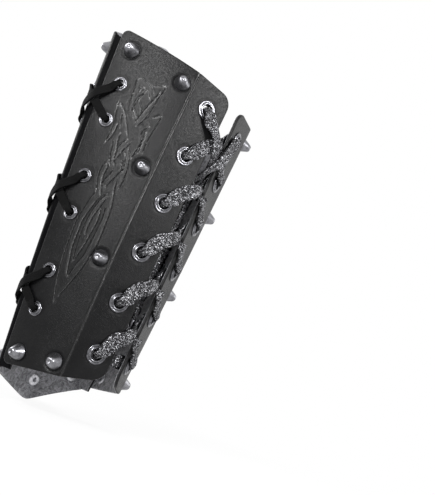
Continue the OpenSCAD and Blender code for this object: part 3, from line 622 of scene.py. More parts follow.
def makePanels():
    a, z = sideGrid()
    depth = toolingDepth(sideTooling, a, z)
    crease = np.exp(-(((a - sideWidth(z)) / panelFinish["creaseGrooveWidth"]) ** 2))
    bright, dull = panelFinish["creaseRubbed"]
    rubbed = crease * (0.5 + 0.5 * np.clip((z - bright) / (dull - bright), 0, 1))
    worked = (np.clip(np.maximum(depth / toolingCut["fullShine"], rubbed), 0, 1), 0 * a)
    depth = np.maximum(depth, panelFinish["creaseGroove"] * crease)
    holes = [(u, h, seatRadius["small"], holeRadius["small"]) for u, h in sideSmall]
    holes += [(u, h, seatRadius["large"], holeRadius["large"]) for u, h in sideLarge]
    studs = [(u, h, seatRadius["stud"]) for u, h in sideStuds]
    right = buildPanel("rightSideLeather", a, z, sidePoint, depth, worked, holes, studs, False)
    left = buildPanel("leftSideLeather", a, z, sidePoint, depth, worked, holes, studs, True)
    a, z = frontGrid()
    depth = toolingDepth(frontTooling, a, z)
    plain = panelFinish["plainRim"]
    rim = np.clip((np.abs(a) / along(frontShape["halfWidth"], z) - plain) / (1 - plain), 0, 1)
    worked = (np.clip(depth / toolingCut["fullShine"], 0, 1), rim)
    holes = [(t, h, seatRadius["small"], holeRadius["small"]) for t, h in frontSmall]
    studs = [(t, h, seatRadius["stud"]) for t, h in frontStuds]
    front = buildPanel("frontLeather", a, z, frontPoint, depth, worked, holes, studs, False)
    return front, right, left


frontLeather, rightLeather, leftLeather = makePanels()
print("panels built:", [len(o.data.polygons) for o in (frontLeather, rightLeather, leftLeather)])


# Cords: stops of a route are (point, normal, width, thickness), in millimetres
cordShape = {
    "width": 5.4,
    "thickness": 1.3,
    "bore": 5.0,
    "bunched": (0.68, 0.46),
    "knot": 4.4,
    "clear": 0.3,
    "clearInside": 0.35,
    "clearCrossing": 0.6,
    "overEdge": 0.55,
    "edgeIn": 0.2,
    "foldShare": 0.4,
    "shoulderShare": 1 / 3,
    "risenShares": (0.3, 0.6),
    "sides": 20,
    "step": 0.8,
    "weave": 0.05,
    "plait": 1.3,
}
laceShape = {
    "width": 9.4,
    "thickness": 1.6,
    "bore": 6.8,
    "bunched": (0.7, 0.47),
    "clear": 0.3,
    "clearUnder": 0.9,
    "climb": 0.42,
    "climbUnder": 0.26,
    "edgeIn": 3.0,
    "edgeAlong": 2.0,
    "underShare": 0.7,
    "gapShare": 0.38,
    "gapThicker": 1.35,
    "narrowThicker": 1.4,
    "firstHeight": -6.0,
    "firstShare": 0.8,
    "lastSlope": -1.1,
    "tail": 138.5,
    "tailAcross": 5.0,
    "tailHeight": -9.5,
    "tailShares": (0.75, 0.5),
    "tailFlatAbove": 2.0,
    "tailStops": (62.0, 126.5),
    "aglet": 3.4,
    "agletLength": 16.0,
    "sides": 26,
    "step": 0.6,
    "weave": 0.11,
    "plait": 1.7,
}
eyeletShape = {"small": 9.3, "large": 12.4, "lip": 1.3, "press": 0.35, "washer": 0.6, "curl": 0.5}
eyeletDepth = leather["thickness"] - eyeletShape["press"] + eyeletShape["washer"] + eyeletShape["curl"]
# A cord through an eyelet: clearances (inside, outside) of its stops, and how far they lie from the
# middle, in shares of the bore's radius or in millimetres
passShape = {
    "mouth": (-0.5, -0.4),
    "bend": (0.7, 0.65),
    "bendAway": 0.38,
    "rim": (0.3, 0.35),
    "rimAway": 1.15,
    "rimShares": (0.35, 0.6, 1.15),
    "far": (0.15, 0.75),
    "farAway": 3.4,
}


def passSize(shape):
    # Width, thickness, the same as bunched in the bore, and the bore's radius
    wide, high = shape["bunched"]
    bore = shape["bore"]
    return (shape["width"], shape["thickness"], bore * wide, bore * high, bore / 2)


cordSize = passSize(cordShape)
laceSize = passSize(laceShape)


def mix(a, b, s):
    return a + (b - a) * s


def acrossOf(place):
    return np.cross(place[1], place[2])


def heading(place, alongFace, up):
    return unit(acrossOf(place) * alongFace + place[1] * up)


def halfPass(place, d, side, way, size):
    # Four stops from the middle of an eyelet to the flat leather, on the face that side * way names
    width, thick, boreWidth, boreThick, rim = size
    raised = boreThick / 2
    outside = side * way > 0
    k, sign = (1, 1) if outside else (0, -1)
    top = eyeletShape["lip"] if outside else eyeletDepth
    face = 0 if outside else eyeletDepth
    s = passShape
    mixed, lift, thicker = s["rimShares"]
    mouthHeight = sign * (top + s["mouth"][k])
    bendHeight = sign * (top + raised * s["bend"][k])
    rimHeight = sign * (top + s["rim"][k] + thick * lift)
    farHeight = sign * (face + s["far"][k] + thick / 2)
    p, normal, away = place[0], place[2], side * d
    return [
        (p + normal * mouthHeight, -way * d, boreWidth, boreThick),
        (p + away * rim * s["bendAway"] + normal * bendHeight, unit(normal - way * d),
         boreWidth, boreThick),
        (p + away * rim * s["rimAway"] + normal * rimHeight, normal,
         mix(width, boreWidth, mixed), thick * thicker),
        (p + away * (rim + s["farAway"]) + normal * farHeight, normal, width, thick),
    ]


def passThrough(place, dIn, dOut, way, size):
    before, after = halfPass(place, dIn, -1, way, size), halfPass(place, dOut, 1, way, size)
    between = dIn - dOut if dIn @ dOut < 0 else dIn + dOut
    middle = place[0] + place[2] * (eyeletShape["lip"] - eyeletDepth) / 2
    return before[::-1] + [(middle, unit(between), size[2], size[3])] + after


def stopOn(section, z, height, size):
    x, y, angle = (float(v) for v in section)
    a = math.radians(angle)
    n = np.array([math.sin(a), -math.cos(a), 0])
    return (np.array([x, y, z]) + n * height, n, size[0], size[1])


def overSeam(zSide, zFront, rise):
    # Stops of a cord over the side panel's edge, the fold and the shoulder, raised where it crosses
    clear, onShoulder = cordShape["clear"], cordShape["shoulderShare"] * shoulderLength
    middleShare, shoulderShare = cordShape["risenShares"]
    rest = cordShape["thickness"] / 2 + clear
    span = lacing["sideInset"] + frontShape["band"] + foldLength + lacing["frontInset"]
    zEdge = mix(zSide, zFront, lacing["sideInset"] / span)
    zFold = mix(zFront, zSide, (lacing["frontInset"] + foldLength / 2) / span)
    zShoulder = mix(zFront, zSide, (lacing["frontInset"] - onShoulder) / span)
    edge = stopOn(sideSection(np.array(cordShape["edgeIn"]), zEdge), zEdge,
                  rest + cordShape["overEdge"] + rise, cordSize)
    fold = stopOn(frontSection(foldStart(zFold) + foldLength * cordShape["foldShare"], zFold), zFold,
                  rest + rise, cordSize)
    shoulder = stopOn(frontSection(foldStart(zShoulder) - onShoulder, zShoulder), zShoulder,
                      rest + clear + rise * shoulderShare, cordSize)
    n = unit(edge[1] + fold[1])
    middle = (edge[0] + fold[0]) / 2 + n * rise * middleShare
    return [edge, (middle, n, cordSize[0], cordSize[1]), fold, shoulder]


# Knot of a seam cord, from its end: (away from the middle of the X, width, thickness)
knotShape = ((0.9, 1.4, 1.2), (1.7, 4.4, 3.96), (4.0, 4.4, 3.96), (5.0, 2.97, 1.82))


def seamRoute(k):
    middle = lacing["crossZ"][k]
    low, high = middle - lacing["crossHeight"] / 2, middle + lacing["crossHeight"] / 2
    span = lacing["sideInset"] + frontShape["band"] + foldLength + lacing["frontInset"]
    rise = lacing["crossHeight"]
    sideLow, sideHigh = (placeOn(sidePoint, lacing["sideInset"], z) for z in (low, high))
    frontLow, frontHigh = (placeOn(frontPoint, foldStart(z) - lacing["frontInset"], z) for z in (low, high))
    lift = cordShape["thickness"] + cordShape["clearCrossing"]

    def knot(s, up):
        z = middle + up * s[0]
        height = -leather["thickness"] - cordShape["clear"] - cordShape["knot"] / 2
        return stopOn(sideSection(np.array(lacing["sideInset"]), z), z, height, s[1:])

    inside = stopOn(frontSection(foldStart(middle) - lacing["frontInset"], middle), middle,
                    -leather["thickness"] - cordShape["clearInside"] - cordShape["thickness"] / 2, cordSize)
    route = [knot(s, -1) for s in knotShape]
    route += passThrough(sideLow, -sideLow[1], heading(sideLow, -span, rise), 1, cordSize)
    route += overSeam(low, high, 0)
    route += passThrough(frontHigh, heading(frontHigh, -span, rise), -frontHigh[1], -1, cordSize)
    route += [inside]
    route += passThrough(frontLow, -frontLow[1], heading(frontLow, span, rise), 1, cordSize)
    route += overSeam(high, low, lift)[::-1]
    route += passThrough(sideHigh, heading(sideHigh, span, rise), -sideHigh[1], -1, cordSize)
    return route + [knot(s, 1) for s in knotShape[::-1]]


def flipStops(stops):
    f = np.array([-1, 1, 1])
    return [(s[0] * f, s[1] * f, s[2], s[3]) for s in stops]


def stripEdge(z):
    z = np.array(float(z))
    return sidePoint(fullWidth(z), z)


gapSize = (laceShape["width"] * laceShape["gapShare"], laceShape["thickness"] * laceShape["gapThicker"])
stripRest = laceShape["thickness"] / 2 + laceShape["clear"]
# Share of the half gap, height and share of the lace's width of a stretch between the strips
upperGap = ((1, 1.6, 1), (0.25, 1.2, 0.85), (-0.2, 0.2, 0.45), (-0.44, -2.7, 0.38), (-0.72, -4.9, 0.38))
lowerGap = ((1, 1.8, 0.9), (0.64, 0.4, 0.42), (0.38, -2, 0.38), (0, -3.4, 0.38), (-0.6, -4.4, 0.38))
# Tails over the strip and down through the gap: (across, below the top eyelet, height)
rightTail = ((9.8, 12.5, 2.8), (6.5, 18, 4.1), (3.5, 25, 3.6), (-0.4, 32, -1), (-3.6, 39, -6),
             (-5, 50, -9.5))
leftTail = ((9.8, 12.5, 2.8), (6.5, 18.5, 4.2), (2.5, 26, 5.8), (-1.6, 34, 1.8), (-1.8, 40, -4.4),
            (-2.2, 45.5, -8.6), (-4.4, 52, -9.5))


def gapStop(x, z, height, size=gapSize):
    return (np.array([x, stripEdge(z)[1] + height, z]), np.array([0, 1.0, 0]), size[0], size[1])


def laceRoute():
    zs = lacing["closureZ"]
    width, thick = laceShape["width"], laceShape["thickness"]
    places = [placeOn(sidePoint, sideWidth(z) + lacing["closureInset"], z) for z in zs]
    edge = [float(along(sideShape["strip"], z)) - lacing["closureInset"] for z in zs]
    pitch = zs[1] - zs[0]
    last = len(zs) - 1

    def crossing(i, inGap):
        zOut = mix(zs[i], zs[i + 1], laceShape["climb"])
        zIn = mix(zs[i + 1], zs[i], laceShape["climbUnder"])
        halfGap = stripEdge(zOut)[0]

        def besideEdge(z, height, size):
            return stopOn(sideSection(fullWidth(z) - laceShape["edgeIn"], z), z, height, size)

        along, under = laceShape["edgeAlong"], -leather["thickness"] - stripRest - laceShape["clearUnder"]
        near = besideEdge(zOut - along, stripRest + 0.1, (width, thick))
        far = besideEdge(zIn + along, under, (width * laceShape["underShare"], thick))
        over = []
        for x, h, share in inGap:
            size = (width * share, thick * mix(laceShape["narrowThicker"], 1, share))
            over.append(gapStop(x * halfGap, mix(zIn, zOut, (x + 1) / 2), h, size))
        return [near] + over + flipStops([far])

    def rising(start):
        stops = []
        for i in range(last + 1):
            onRight = (i + start) % 2 == 0
            dIn = heading(places[i], -edge[i], laceShape["climbUnder"] * pitch)
            dOut = heading(places[i], edge[i], laceShape["climb"] * pitch)
            if i == 0:
                dIn = -acrossOf(places[0])
            if i == last:
                dOut = heading(places[i], 1, laceShape["lastSlope"])
            part = passThrough(places[i], dIn, dOut, 1, laceSize)
            if i < last:
                part = part + crossing(i, upperGap if onRight else lowerGap)
            stops += part if onRight else flipStops(part)
        return stops

    def tail(points):
        # Flat over the strips, bunched in the gap, then folded once and down to the aglet
        flat, folded = ((width * share, thick) for share in laceShape["tailShares"])
        above = laceShape["tailFlatAbove"]
        stops = [gapStop(x, zs[last] - z, h, flat if h > above else gapSize) for x, z, h in points]
        x, h, end = -laceShape["tailAcross"], laceShape["tailHeight"], laceShape["tail"]
        stops += [gapStop(x, zs[last] - d, h, folded) for d in laceShape["tailStops"]]
        inAglet = (laceShape["aglet"] * 0.8, laceShape["aglet"] * 0.7)
        return stops + [gapStop(x, zs[last] - end, h, inAglet)]

    right = rising(0) + flipStops(tail(leftTail))
    left = rising(1) + tail(rightTail)
    first = gapStop(0, zs[0], laceShape["firstHeight"], (width * laceShape["firstShare"], thick))
    return left[::-1] + [first] + right


# Powers of the cosine and sine in a cord's section: the smaller, the squarer
sectionPower = (0.5, 0.25)


def sweepCord(name, stops, shape):
    # Flat woven cord along its stops, with the relief of its plaits
    n = len(stops)
    points = np.array([s[0] for s in stops])
    ahead = np.array([unit(points[min(i + 1, n - 1)] - points[max(i - 1, 0)]) for i in range(n)])
    normals = np.array([s[1] for s in stops], float)
    normals = np.array([unit(m - (m @ d) * d) for m, d in zip(normals, ahead)])
    for i in range(1, n):
        if normals[i] @ normals[i - 1] < 0:
            normals[i] = -normals[i]
    table = np.concatenate([points, normals, np.array([[s[2], s[3]] for s in stops])], 1)
    lengths = np.linalg.norm(np.diff(points, axis=0), axis=1)
    rows = []
    padded = np.vstack([2 * table[0] - table[1], table, 2 * table[-1] - table[-2]])
    for i in range(n - 1):
        a, b, c, d = padded[i], padded[i + 1], padded[i + 2], padded[i + 3]
        # tangents scaled to the stretch, so that short stops beside long ones don't overshoot
        before = lengths[max(i - 1, 0)]
        after = lengths[min(i + 1, n - 2)]
        here = lengths[i]
        m0 = ((b - a) / before + (c - b) / here) / 2 * here
        m1 = ((c - b) / here + (d - c) / after) / 2 * here
        count = max(1, int(round(here / shape["step"])))
        for s in np.arange(count) / count:
            rows.append((2 * s**3 - 3 * s**2 + 1) * b + (s**3 - 2 * s**2 + s) * m0
                        + (3 * s**2 - 2 * s**3) * c + (s**3 - s**2) * m1)
    rows.append(table[-1])
    rows = np.array(rows)
    centre = rows[:, :3]
    tangent = np.gradient(centre, axis=0)
    tangent /= np.linalg.norm(tangent, axis=1)[:, None]
    up = rows[:, 3:6] - (rows[:, 3:6] * tangent).sum(1)[:, None] * tangent
    up /= np.linalg.norm(up, axis=1)[:, None]
    side = np.cross(tangent, up)
    travelled = np.concatenate([[0], np.cumsum(np.linalg.norm(np.diff(centre, axis=0), axis=1))])
    sides = shape["sides"]
    angle = 2 * np.pi * (np.arange(sides) + 0.5) / sides
    cx = np.sign(np.cos(angle)) * np.abs(np.cos(angle)) ** sectionPower[0]
    cy = np.sign(np.sin(angle)) * np.abs(np.sin(angle)) ** sectionPower[1]
    x = cx[None] * rows[:, 6:7] / 2
    y = cy[None] * rows[:, 7:8] / 2
    flatX = cx[None] * shape["width"] / 2
    s = travelled[:, None] + 0 * flatX
    pitch = shape["plait"]
    relief = np.cos(np.pi * (s + flatX) / pitch) * np.cos(np.pi * (s - flatX) / pitch)
    y = y + np.sign(y) * relief * shape["weave"]
    ring = centre[:, None] + side[:, None] * x[..., None] + up[:, None] * y[..., None]
    rings = len(ring)
    points = ring.reshape(-1, 3) * mm
    i, k = np.meshgrid(np.arange(rings - 1), np.arange(sides), indexing="ij")
    a, b = i * sides + k, i * sides + (k + 1) % sides
    quads = np.stack([a, a + sides, b + sides, b], -1).reshape(-1, 4).tolist()
    caps = [list(range(sides)), [(rings - 1) * sides + k for k in range(sides)][::-1]]
    mesh = bpy.data.meshes.new(name)
    mesh.from_pydata(points.tolist(), [], quads + caps)
    mesh.polygons.foreach_set("use_smooth", np.ones(len(quads) + 2, bool))
    woven = mesh.uv_layers.new(name="woven")
    corners = np.zeros(len(mesh.loops), int)
    mesh.loops.foreach_get("vertex_index", corners)
    lengthwise = np.repeat(travelled, sides) * mm
    crosswise = np.tile(cx * shape["width"] / 2, rings) * mm
    woven.data.foreach_set("uv", np.stack([lengthwise, crosswise], -1)[corners].ravel())
    mesh.update()
    made = bmesh.new()
    made.from_mesh(mesh)
    bmesh.ops.recalc_face_normals(made, faces=made.faces)
    made.to_mesh(mesh)
    made.free()
    cord = bpy.data.objects.new(name, mesh)
    bpy.context.scene.collection.objects.link(cord)
    return cord


def halfOf(source, name, sign):
    # The part of a mesh on one side of the middle plane, closed where it is cut
    mesh = source.data.copy()
    made = bmesh.new()
    made.from_mesh(mesh)
    everything = list(made.verts) + list(made.edges) + list(made.faces)
    cut = bmesh.ops.bisect_plane(made, geom=everything, plane_co=(0, 0, 0), plane_no=(sign, 0, 0),
                                 clear_inner=True)
    edges = [e for e in cut["geom_cut"] if isinstance(e, bmesh.types.BMEdge)]
    bmesh.ops.holes_fill(made, edges=edges, sides=0)
    for e in edges:
        e.smooth = False
    made.to_mesh(mesh)
    made.free()
    half = bpy.data.objects.new(name, mesh)
    bpy.context.scene.collection.objects.link(half)
    return half


seamCords = {}
for k, place in enumerate(("Wrist", "Middle", "Elbow")):
    name = "rightSeamCord" + place
    seamCords[name] = sweepCord(name, seamRoute(k), cordShape)
    name = "leftSeamCord" + place
    seamCords[name] = sweepCord(name, flipStops(seamRoute(k)), cordShape)
wholeLace = sweepCord("wholeLace", laceRoute(), laceShape)
rightLace = halfOf(wholeLace, "rightClosureLace", 1)
leftLace = halfOf(wholeLace, "leftClosureLace", -1)
bpy.data.objects.remove(wholeLace)
print("cords built:", len(rightLace.data.polygons), len(leftLace.data.polygons))


# Turned hardware: a profile (radius, height) spun round, then set on its places by Geometry Nodes
def spinProfile(name, profile, segments):
    made = bmesh.new()
    rings = []
    for r, h in profile:
        if r < 1e-6:
            rings.append([made.verts.new((0, 0, h * mm))])
        else:
            rings.append([made.verts.new((r * mm * math.cos(a), r * mm * math.sin(a), h * mm))
                          for a in (2 * math.pi * i / segments for i in range(segments))])
    closed = len(rings[0]) > 1 and len(rings[-1]) > 1
    for lower, upper in zip(rings, rings[1:] + (rings[:1] if closed else [])):
        for i in range(segments):
            j = (i + 1) % segments
            corners = [ring[c % len(ring)] for ring, c in ((lower, i), (lower, j), (upper, j), (upper, i))]
            corners = list(dict.fromkeys(corners))
            if len(corners) > 2:
                made.faces.new(corners)
    bmesh.ops.recalc_face_normals(made, faces=made.faces)
    mesh = bpy.data.meshes.new(name)
    made.to_mesh(mesh)
    made.free()
    mesh.polygons.foreach_set("use_smooth", np.ones(len(mesh.polygons), bool))
    piece = bpy.data.objects.new(name, mesh)
    bpy.context.scene.collection.objects.link(piece)
    return piece


def linear(hexColour):
    # sRGB hex to the linear values that a shader takes
    parts = [int(hexColour[i:i + 2], 16) / 255 for i in (1, 3, 5)]
    return tuple(c / 12.92 if c <= 0.04045 else ((c + 0.055) / 1.055) ** 2.4 for c in parts) + (1.0,)


def fillInputs(tree, node, inputs):
    # Fills each input with a value or with a link (node, output)
    for name, value in inputs.items():
        socket = node.inputs[name]
        if isinstance(value, tuple) and len(value) == 2 and isinstance(value[0], bpy.types.Node):
            tree.links.new(value[0].outputs[value[1]], socket)
        else:
            socket.default_value = value


def addNode(tree, kind, inputs=None, stops=(), **settings):
    # Adds a node with its settings and links, and with its stops (position, colour or grey) if it
    # is a ramp
    node = tree.nodes.new(kind)
    for name, value in settings.items():
        setattr(node, name, value)
    fillInputs(tree, node, inputs or {})
    while stops and len(node.color_ramp.elements) < len(stops):
        node.color_ramp.elements.new(0.5)
    for k, (position, colour) in enumerate(stops):
        element = node.color_ramp.elements[k]
        element.position = position
        element.color = linear(colour) if isinstance(colour, str) else (colour, colour, colour, 1)
    return node


def hardwareTree():
    # Sets one turned piece on every point, tipped along the leather and spun at random
    tree = bpy.data.node_groups.new("hardwareOnLeather", "GeometryNodeTree")
    face = tree.interface
    face.new_socket("Geometry", in_out="INPUT", socket_type="NodeSocketGeometry")
    face.new_socket("Piece", in_out="INPUT", socket_type="NodeSocketObject")
    face.new_socket("Size", in_out="INPUT", socket_type="NodeSocketFloat")
    face.new_socket("Spin seed", in_out="INPUT", socket_type="NodeSocketInt")
    face.new_socket("Finish", in_out="INPUT", socket_type="NodeSocketMaterial")
    face.new_socket("Geometry", in_out="OUTPUT", socket_type="NodeSocketGeometry")
    given = addNode(tree, "NodeGroupInput")
    piece = addNode(tree, "GeometryNodeObjectInfo", {"Object": (given, "Piece")})
    tip = addNode(tree, "GeometryNodeInputNamedAttribute", {"Name": "tip"}, data_type="FLOAT_VECTOR")
    turn = addNode(tree, "FunctionNodeEulerToRotation", {0: (tip, "Attribute")})
    spin = addNode(tree, "FunctionNodeRandomValue", {"Seed": (given, "Spin seed")},
                   data_type="FLOAT_VECTOR")
    spin.inputs[0].default_value = (0, 0, 0)
    spin.inputs[1].default_value = (0, 0, 2 * math.pi)
    spun = addNode(tree, "FunctionNodeEulerToRotation", {0: (spin, 0)})
    both = addNode(tree, "FunctionNodeRotateRotation", {0: (turn, 0), 1: (spun, 0)}, rotation_space="LOCAL")
    placed = addNode(tree, "GeometryNodeInstanceOnPoints",
                     {"Points": (given, "Geometry"), "Instance": (piece, "Geometry"),
                      "Rotation": (both, 0), "Scale": (given, "Size")})
    real = addNode(tree, "GeometryNodeRealizeInstances", {"Geometry": (placed, "Instances")})
    done = addNode(tree, "GeometryNodeSetMaterial",
                   {"Geometry": (real, "Geometry"), "Material": (given, "Finish")})
    addNode(tree, "NodeGroupOutput", {"Geometry": (done, "Geometry")})
    return tree


setOnLeather = hardwareTree()


def setHardware(name, piece, places, finish, seed, mirror=False):
    flip = np.array([-1, 1, 1]) if mirror else np.array([1, 1, 1])
    mesh = bpy.data.meshes.new(name)
    mesh.from_pydata([tuple(p * flip * mm) for p, up, n in places], [], [])
    tip = mesh.attributes.new("tip", "FLOAT_VECTOR", "POINT")
    for k, (p, up, n) in enumerate(places):
        z, y = Vector(n * flip), Vector(up * flip)
        x = y.cross(z)
        tip.data[k].vector = Matrix((x, y, z)).transposed().to_euler("XYZ")
    points = bpy.data.objects.new(name, mesh)
    bpy.context.scene.collection.objects.link(points)
    modifier = points.modifiers.new("hardware", "NODES")
    modifier.node_group = setOnLeather
    values = {"Piece": piece, "Size": 1.0, "Spin seed": seed, "Finish": finish}
    for item in setOnLeather.interface.items_tree:
        if item.in_out == "INPUT" and item.name in values:
            modifier[item.identifier] = values[item.name]
    bpy.context.view_layer.update()
    evaluated = points.evaluated_get(bpy.context.evaluated_depsgraph_get())
    real = bpy.data.meshes.new_from_object(evaluated)
    points.modifiers.clear()
    points.data = real
    if not real.materials:
        real.materials.append(finish)
    return points


def perMetre(size):
    # Scale of a pattern whose parts are so many millimetres wide
    return 1 / (size * mm)


def newMaterial(name):
    material = bpy.data.materials.new(name)
    material.use_nodes = True
    tree = material.node_tree
    shader = tree.nodes["Principled BSDF"]
    return material, tree, shader


# Sizes and depths in a finish are millimetres, and roughness is (glossiest, dullest). Grain, fibres
# and handling marks are too fine to show, so they are drawn a few times coarser than real ones
leatherFinish = {
    "dye": "#060607",
    "dyeWorn": "#0d0d0e",
    "roughness": (0.31, 0.39),
    "cloud": 18.18,
    "grain": 0.8,
    "stipple": 1.2,
    "depth": 0.14,
    "bump": 1.0,
    "film": 0.16,
    "burnished": (0.26, 0.42),
    "cutMatt": 0.1,
}


def smoothLeather():
    # Chrome-tanned cowhide, dyed black through and finished smooth: a fine closed grain with a
    # satin film that catches broad soft light, and shinier where the tooling iron pressed it
    f = leatherFinish
    material, tree, shader = newMaterial("dyedSmoothLeather")
    place = addNode(tree, "ShaderNodeTexCoord")
    cloud = addNode(tree, "ShaderNodeTexNoise",
                    {"Vector": (place, "Object"), "Scale": perMetre(f["cloud"]), "Detail": 5.0})
    colour = addNode(tree, "ShaderNodeValToRGB", {"Fac": (cloud, "Fac")},
                     stops=((0.35, f["dye"]), (0.75, f["dyeWorn"])))
    sheen = addNode(tree, "ShaderNodeMapRange",
                    {"Value": (cloud, "Fac"), "From Min": 0.3, "From Max": 0.7,
                     "To Min": f["roughness"][0], "To Max": f["roughness"][1]})
    worked = addNode(tree, "ShaderNodeUVMap", uv_map="worked")
    amount = addNode(tree, "ShaderNodeSeparateXYZ", {"Vector": (worked, "UV")})
    bevel = addNode(tree, "ShaderNodeValToRGB", {"Fac": (amount, "X")},
                    stops=((0.0, 0.0), (0.45, 1.0), (0.65, 0.8), (0.85, 0.0)))
    polish = addNode(tree, "ShaderNodeMapRange",
                     {"Value": (bevel, "Color"), "To Min": (sheen, "Result"), "To Max": f["burnished"][0]})
    film = addNode(tree, "ShaderNodeMapRange",
                   {"Value": (bevel, "Color"), "To Min": f["film"], "To Max": f["burnished"][1]})
    matt = addNode(tree, "ShaderNodeValToRGB", {"Fac": (amount, "X")},
                   stops=((0.6, 1.0), (0.95, f["cutMatt"])))
    bare = addNode(tree, "ShaderNodeMapRange",
                   {"Value": (amount, "Y"), "To Min": 1.0, "To Max": f["cutMatt"]})
    left = addNode(tree, "ShaderNodeMath", {0: (bare, "Result"), 1: (matt, "Color")}, operation="MULTIPLY")
    gloss = addNode(tree, "ShaderNodeMath", {0: (film, "Result"), 1: (left, "Value")}, operation="MULTIPLY")
    pebble = addNode(tree, "ShaderNodeTexVoronoi",
                     {"Vector": (place, "Object"), "Scale": perMetre(f["grain"])},
                     feature="DISTANCE_TO_EDGE")
    pores = addNode(tree, "ShaderNodeValToRGB", {"Fac": (pebble, "Distance")},
                    stops=((0.0, 0.35), (0.22, 1.0)))
    crepe = addNode(tree, "ShaderNodeTexNoise",
                    {"Vector": (place, "Object"), "Scale": perMetre(f["stipple"]), "Detail": 3.0})
    height = addNode(tree, "ShaderNodeMath", {0: (pores, "Color"), 1: (crepe, "Fac")}, operation="MULTIPLY")
    bump = addNode(tree, "ShaderNodeBump",
                   {"Strength": f["bump"], "Distance": f["depth"] * mm, "Height": (height, "Value")})
    fillInputs(tree, shader, {"Base Color": (colour, "Color"), "Roughness": (polish, "Result"),
                              "Specular IOR Level": (gloss, "Value"), "Normal": (bump, "Normal")})
    return material


suedeFinish = {
    "nap": "#9c9ca0",
    "napDark": "#48484c",
    "fibre": 0.6,
    "tuft": 4.167,
    "depth": 0.4,
    "bump": 0.8,
    "roughness": 0.95,
    "sheen": 0.35,
    "sheenRoughness": 0.5,
}


def suede():
    # Flesh side of the same hide, dyed but not finished: short loose fibres, quite matt, greyer
    f = suedeFinish
    material, tree, shader = newMaterial("suedeFleshSide")
    place = addNode(tree, "ShaderNodeTexCoord")
    nap = addNode(tree, "ShaderNodeTexNoise", {"Vector": (place, "Object"), "Scale": perMetre(f["fibre"]),
                                               "Detail": 6.0, "Roughness": 0.7})
    tufts = addNode(tree, "ShaderNodeTexNoise", {"Vector": (place, "Object"), "Scale": perMetre(f["tuft"]),
                                                 "Detail": 5.0, "Distortion": 1.8})
    both = addNode(tree, "ShaderNodeMath", {0: (nap, "Fac"), 1: (tufts, "Fac")}, operation="MULTIPLY")
    colour = addNode(tree, "ShaderNodeValToRGB", {"Fac": (both, "Value")},
                     stops=((0.16, f["napDark"]), (0.36, f["nap"])))
    bump = addNode(tree, "ShaderNodeBump",
                   {"Strength": f["bump"], "Distance": f["depth"] * mm, "Height": (both, "Value")})
    fillInputs(tree, shader, {"Base Color": (colour, "Color"), "Normal": (bump, "Normal"),
                              "Roughness": f["roughness"], "Sheen Weight": f["sheen"],
                              "Sheen Roughness": f["sheenRoughness"]})
    return material


edgeFinish = {
    "ink": "#070708",
    "inkWorn": "#161618",
    "fibre": 1.111,
    "depth": 0.2,
    "bump": 0.5,
    "roughness": 0.6,
    "film": 0.3,
}


def cutEdge():
    # Cut edge of the hide, inked black and rubbed: smoother than the flesh, duller than the grain
    f = edgeFinish
    material, tree, shader = newMaterial("inkedCutEdge")
    place = addNode(tree, "ShaderNodeTexCoord")
    fibres = addNode(tree, "ShaderNodeTexNoise",
                     {"Vector": (place, "Object"), "Scale": perMetre(f["fibre"]), "Detail": 4.0})
    colour = addNode(tree, "ShaderNodeValToRGB", {"Fac": (fibres, "Fac")},
                     stops=((0.3, f["ink"]), (0.75, f["inkWorn"])))
    bump = addNode(tree, "ShaderNodeBump",
                   {"Strength": f["bump"], "Distance": f["depth"] * mm, "Height": (fibres, "Fac")})
    fillInputs(tree, shader, {"Base Color": (colour, "Color"), "Normal": (bump, "Normal"),
                              "Roughness": f["roughness"], "Specular IOR Level": f["film"]})
    return material


# Metals: material name, bright and dark colour, roughness, size of the handling marks
metalFinish = {
    "stud": ("turnedNickelStud", "#96969a", "#5a5a5e", (0.24, 0.36), 2.381),
    "eyelet": ("pressedNickelEyelet", "#848488", "#3a3a3e", (0.16, 0.28), 2.0),
    "back": ("zincRivetBack", "#dcdce0", "#a8a8ac", (0.35, 0.5), 1.667),
}
markShape = {"bump": 0.25, "depth": 0.08}


def platedMetal(name, bright, dark, roughness, markSize):
    # Turned or pressed steel under nickel or zinc plate: a grey mirror, dulled by fine handling marks
    material, tree, shader = newMaterial(name)
    place = addNode(tree, "ShaderNodeTexCoord")
    marks = addNode(tree, "ShaderNodeTexNoise", {"Vector": (place, "Object"), "Scale": perMetre(markSize),
                                                 "Detail": 6.0, "Roughness": 0.65})
    colour = addNode(tree, "ShaderNodeValToRGB", {"Fac": (marks, "Fac")}, stops=((0.3, dark), (0.7, bright)))
    dull = addNode(tree, "ShaderNodeMapRange",
                   {"Value": (marks, "Fac"), "From Min": 0.3, "From Max": 0.7,
                    "To Min": roughness[1], "To Max": roughness[0]})
    bump = addNode(tree, "ShaderNodeBump", {"Strength": markShape["bump"],
                                            "Distance": markShape["depth"] * mm, "Height": (marks, "Fac")})
    fillInputs(tree, shader, {"Base Color": (colour, "Color"), "Roughness": (dull, "Result"),
                              "Normal": (bump, "Normal"), "Metallic": 1.0})
    return material


weaveFinish = {
    "yarn": "#19191c",
    "yarnDarkAndShaded": "#0b0b0d",
    "thread": "#a8a8ac",
    "glint": 0.37,
    "plaitShade": 0.35,
    "depth": 0.2,
    "bump": 0.7,
    "roughness": (0.36, 0.8),
    "film": 0.25,
}


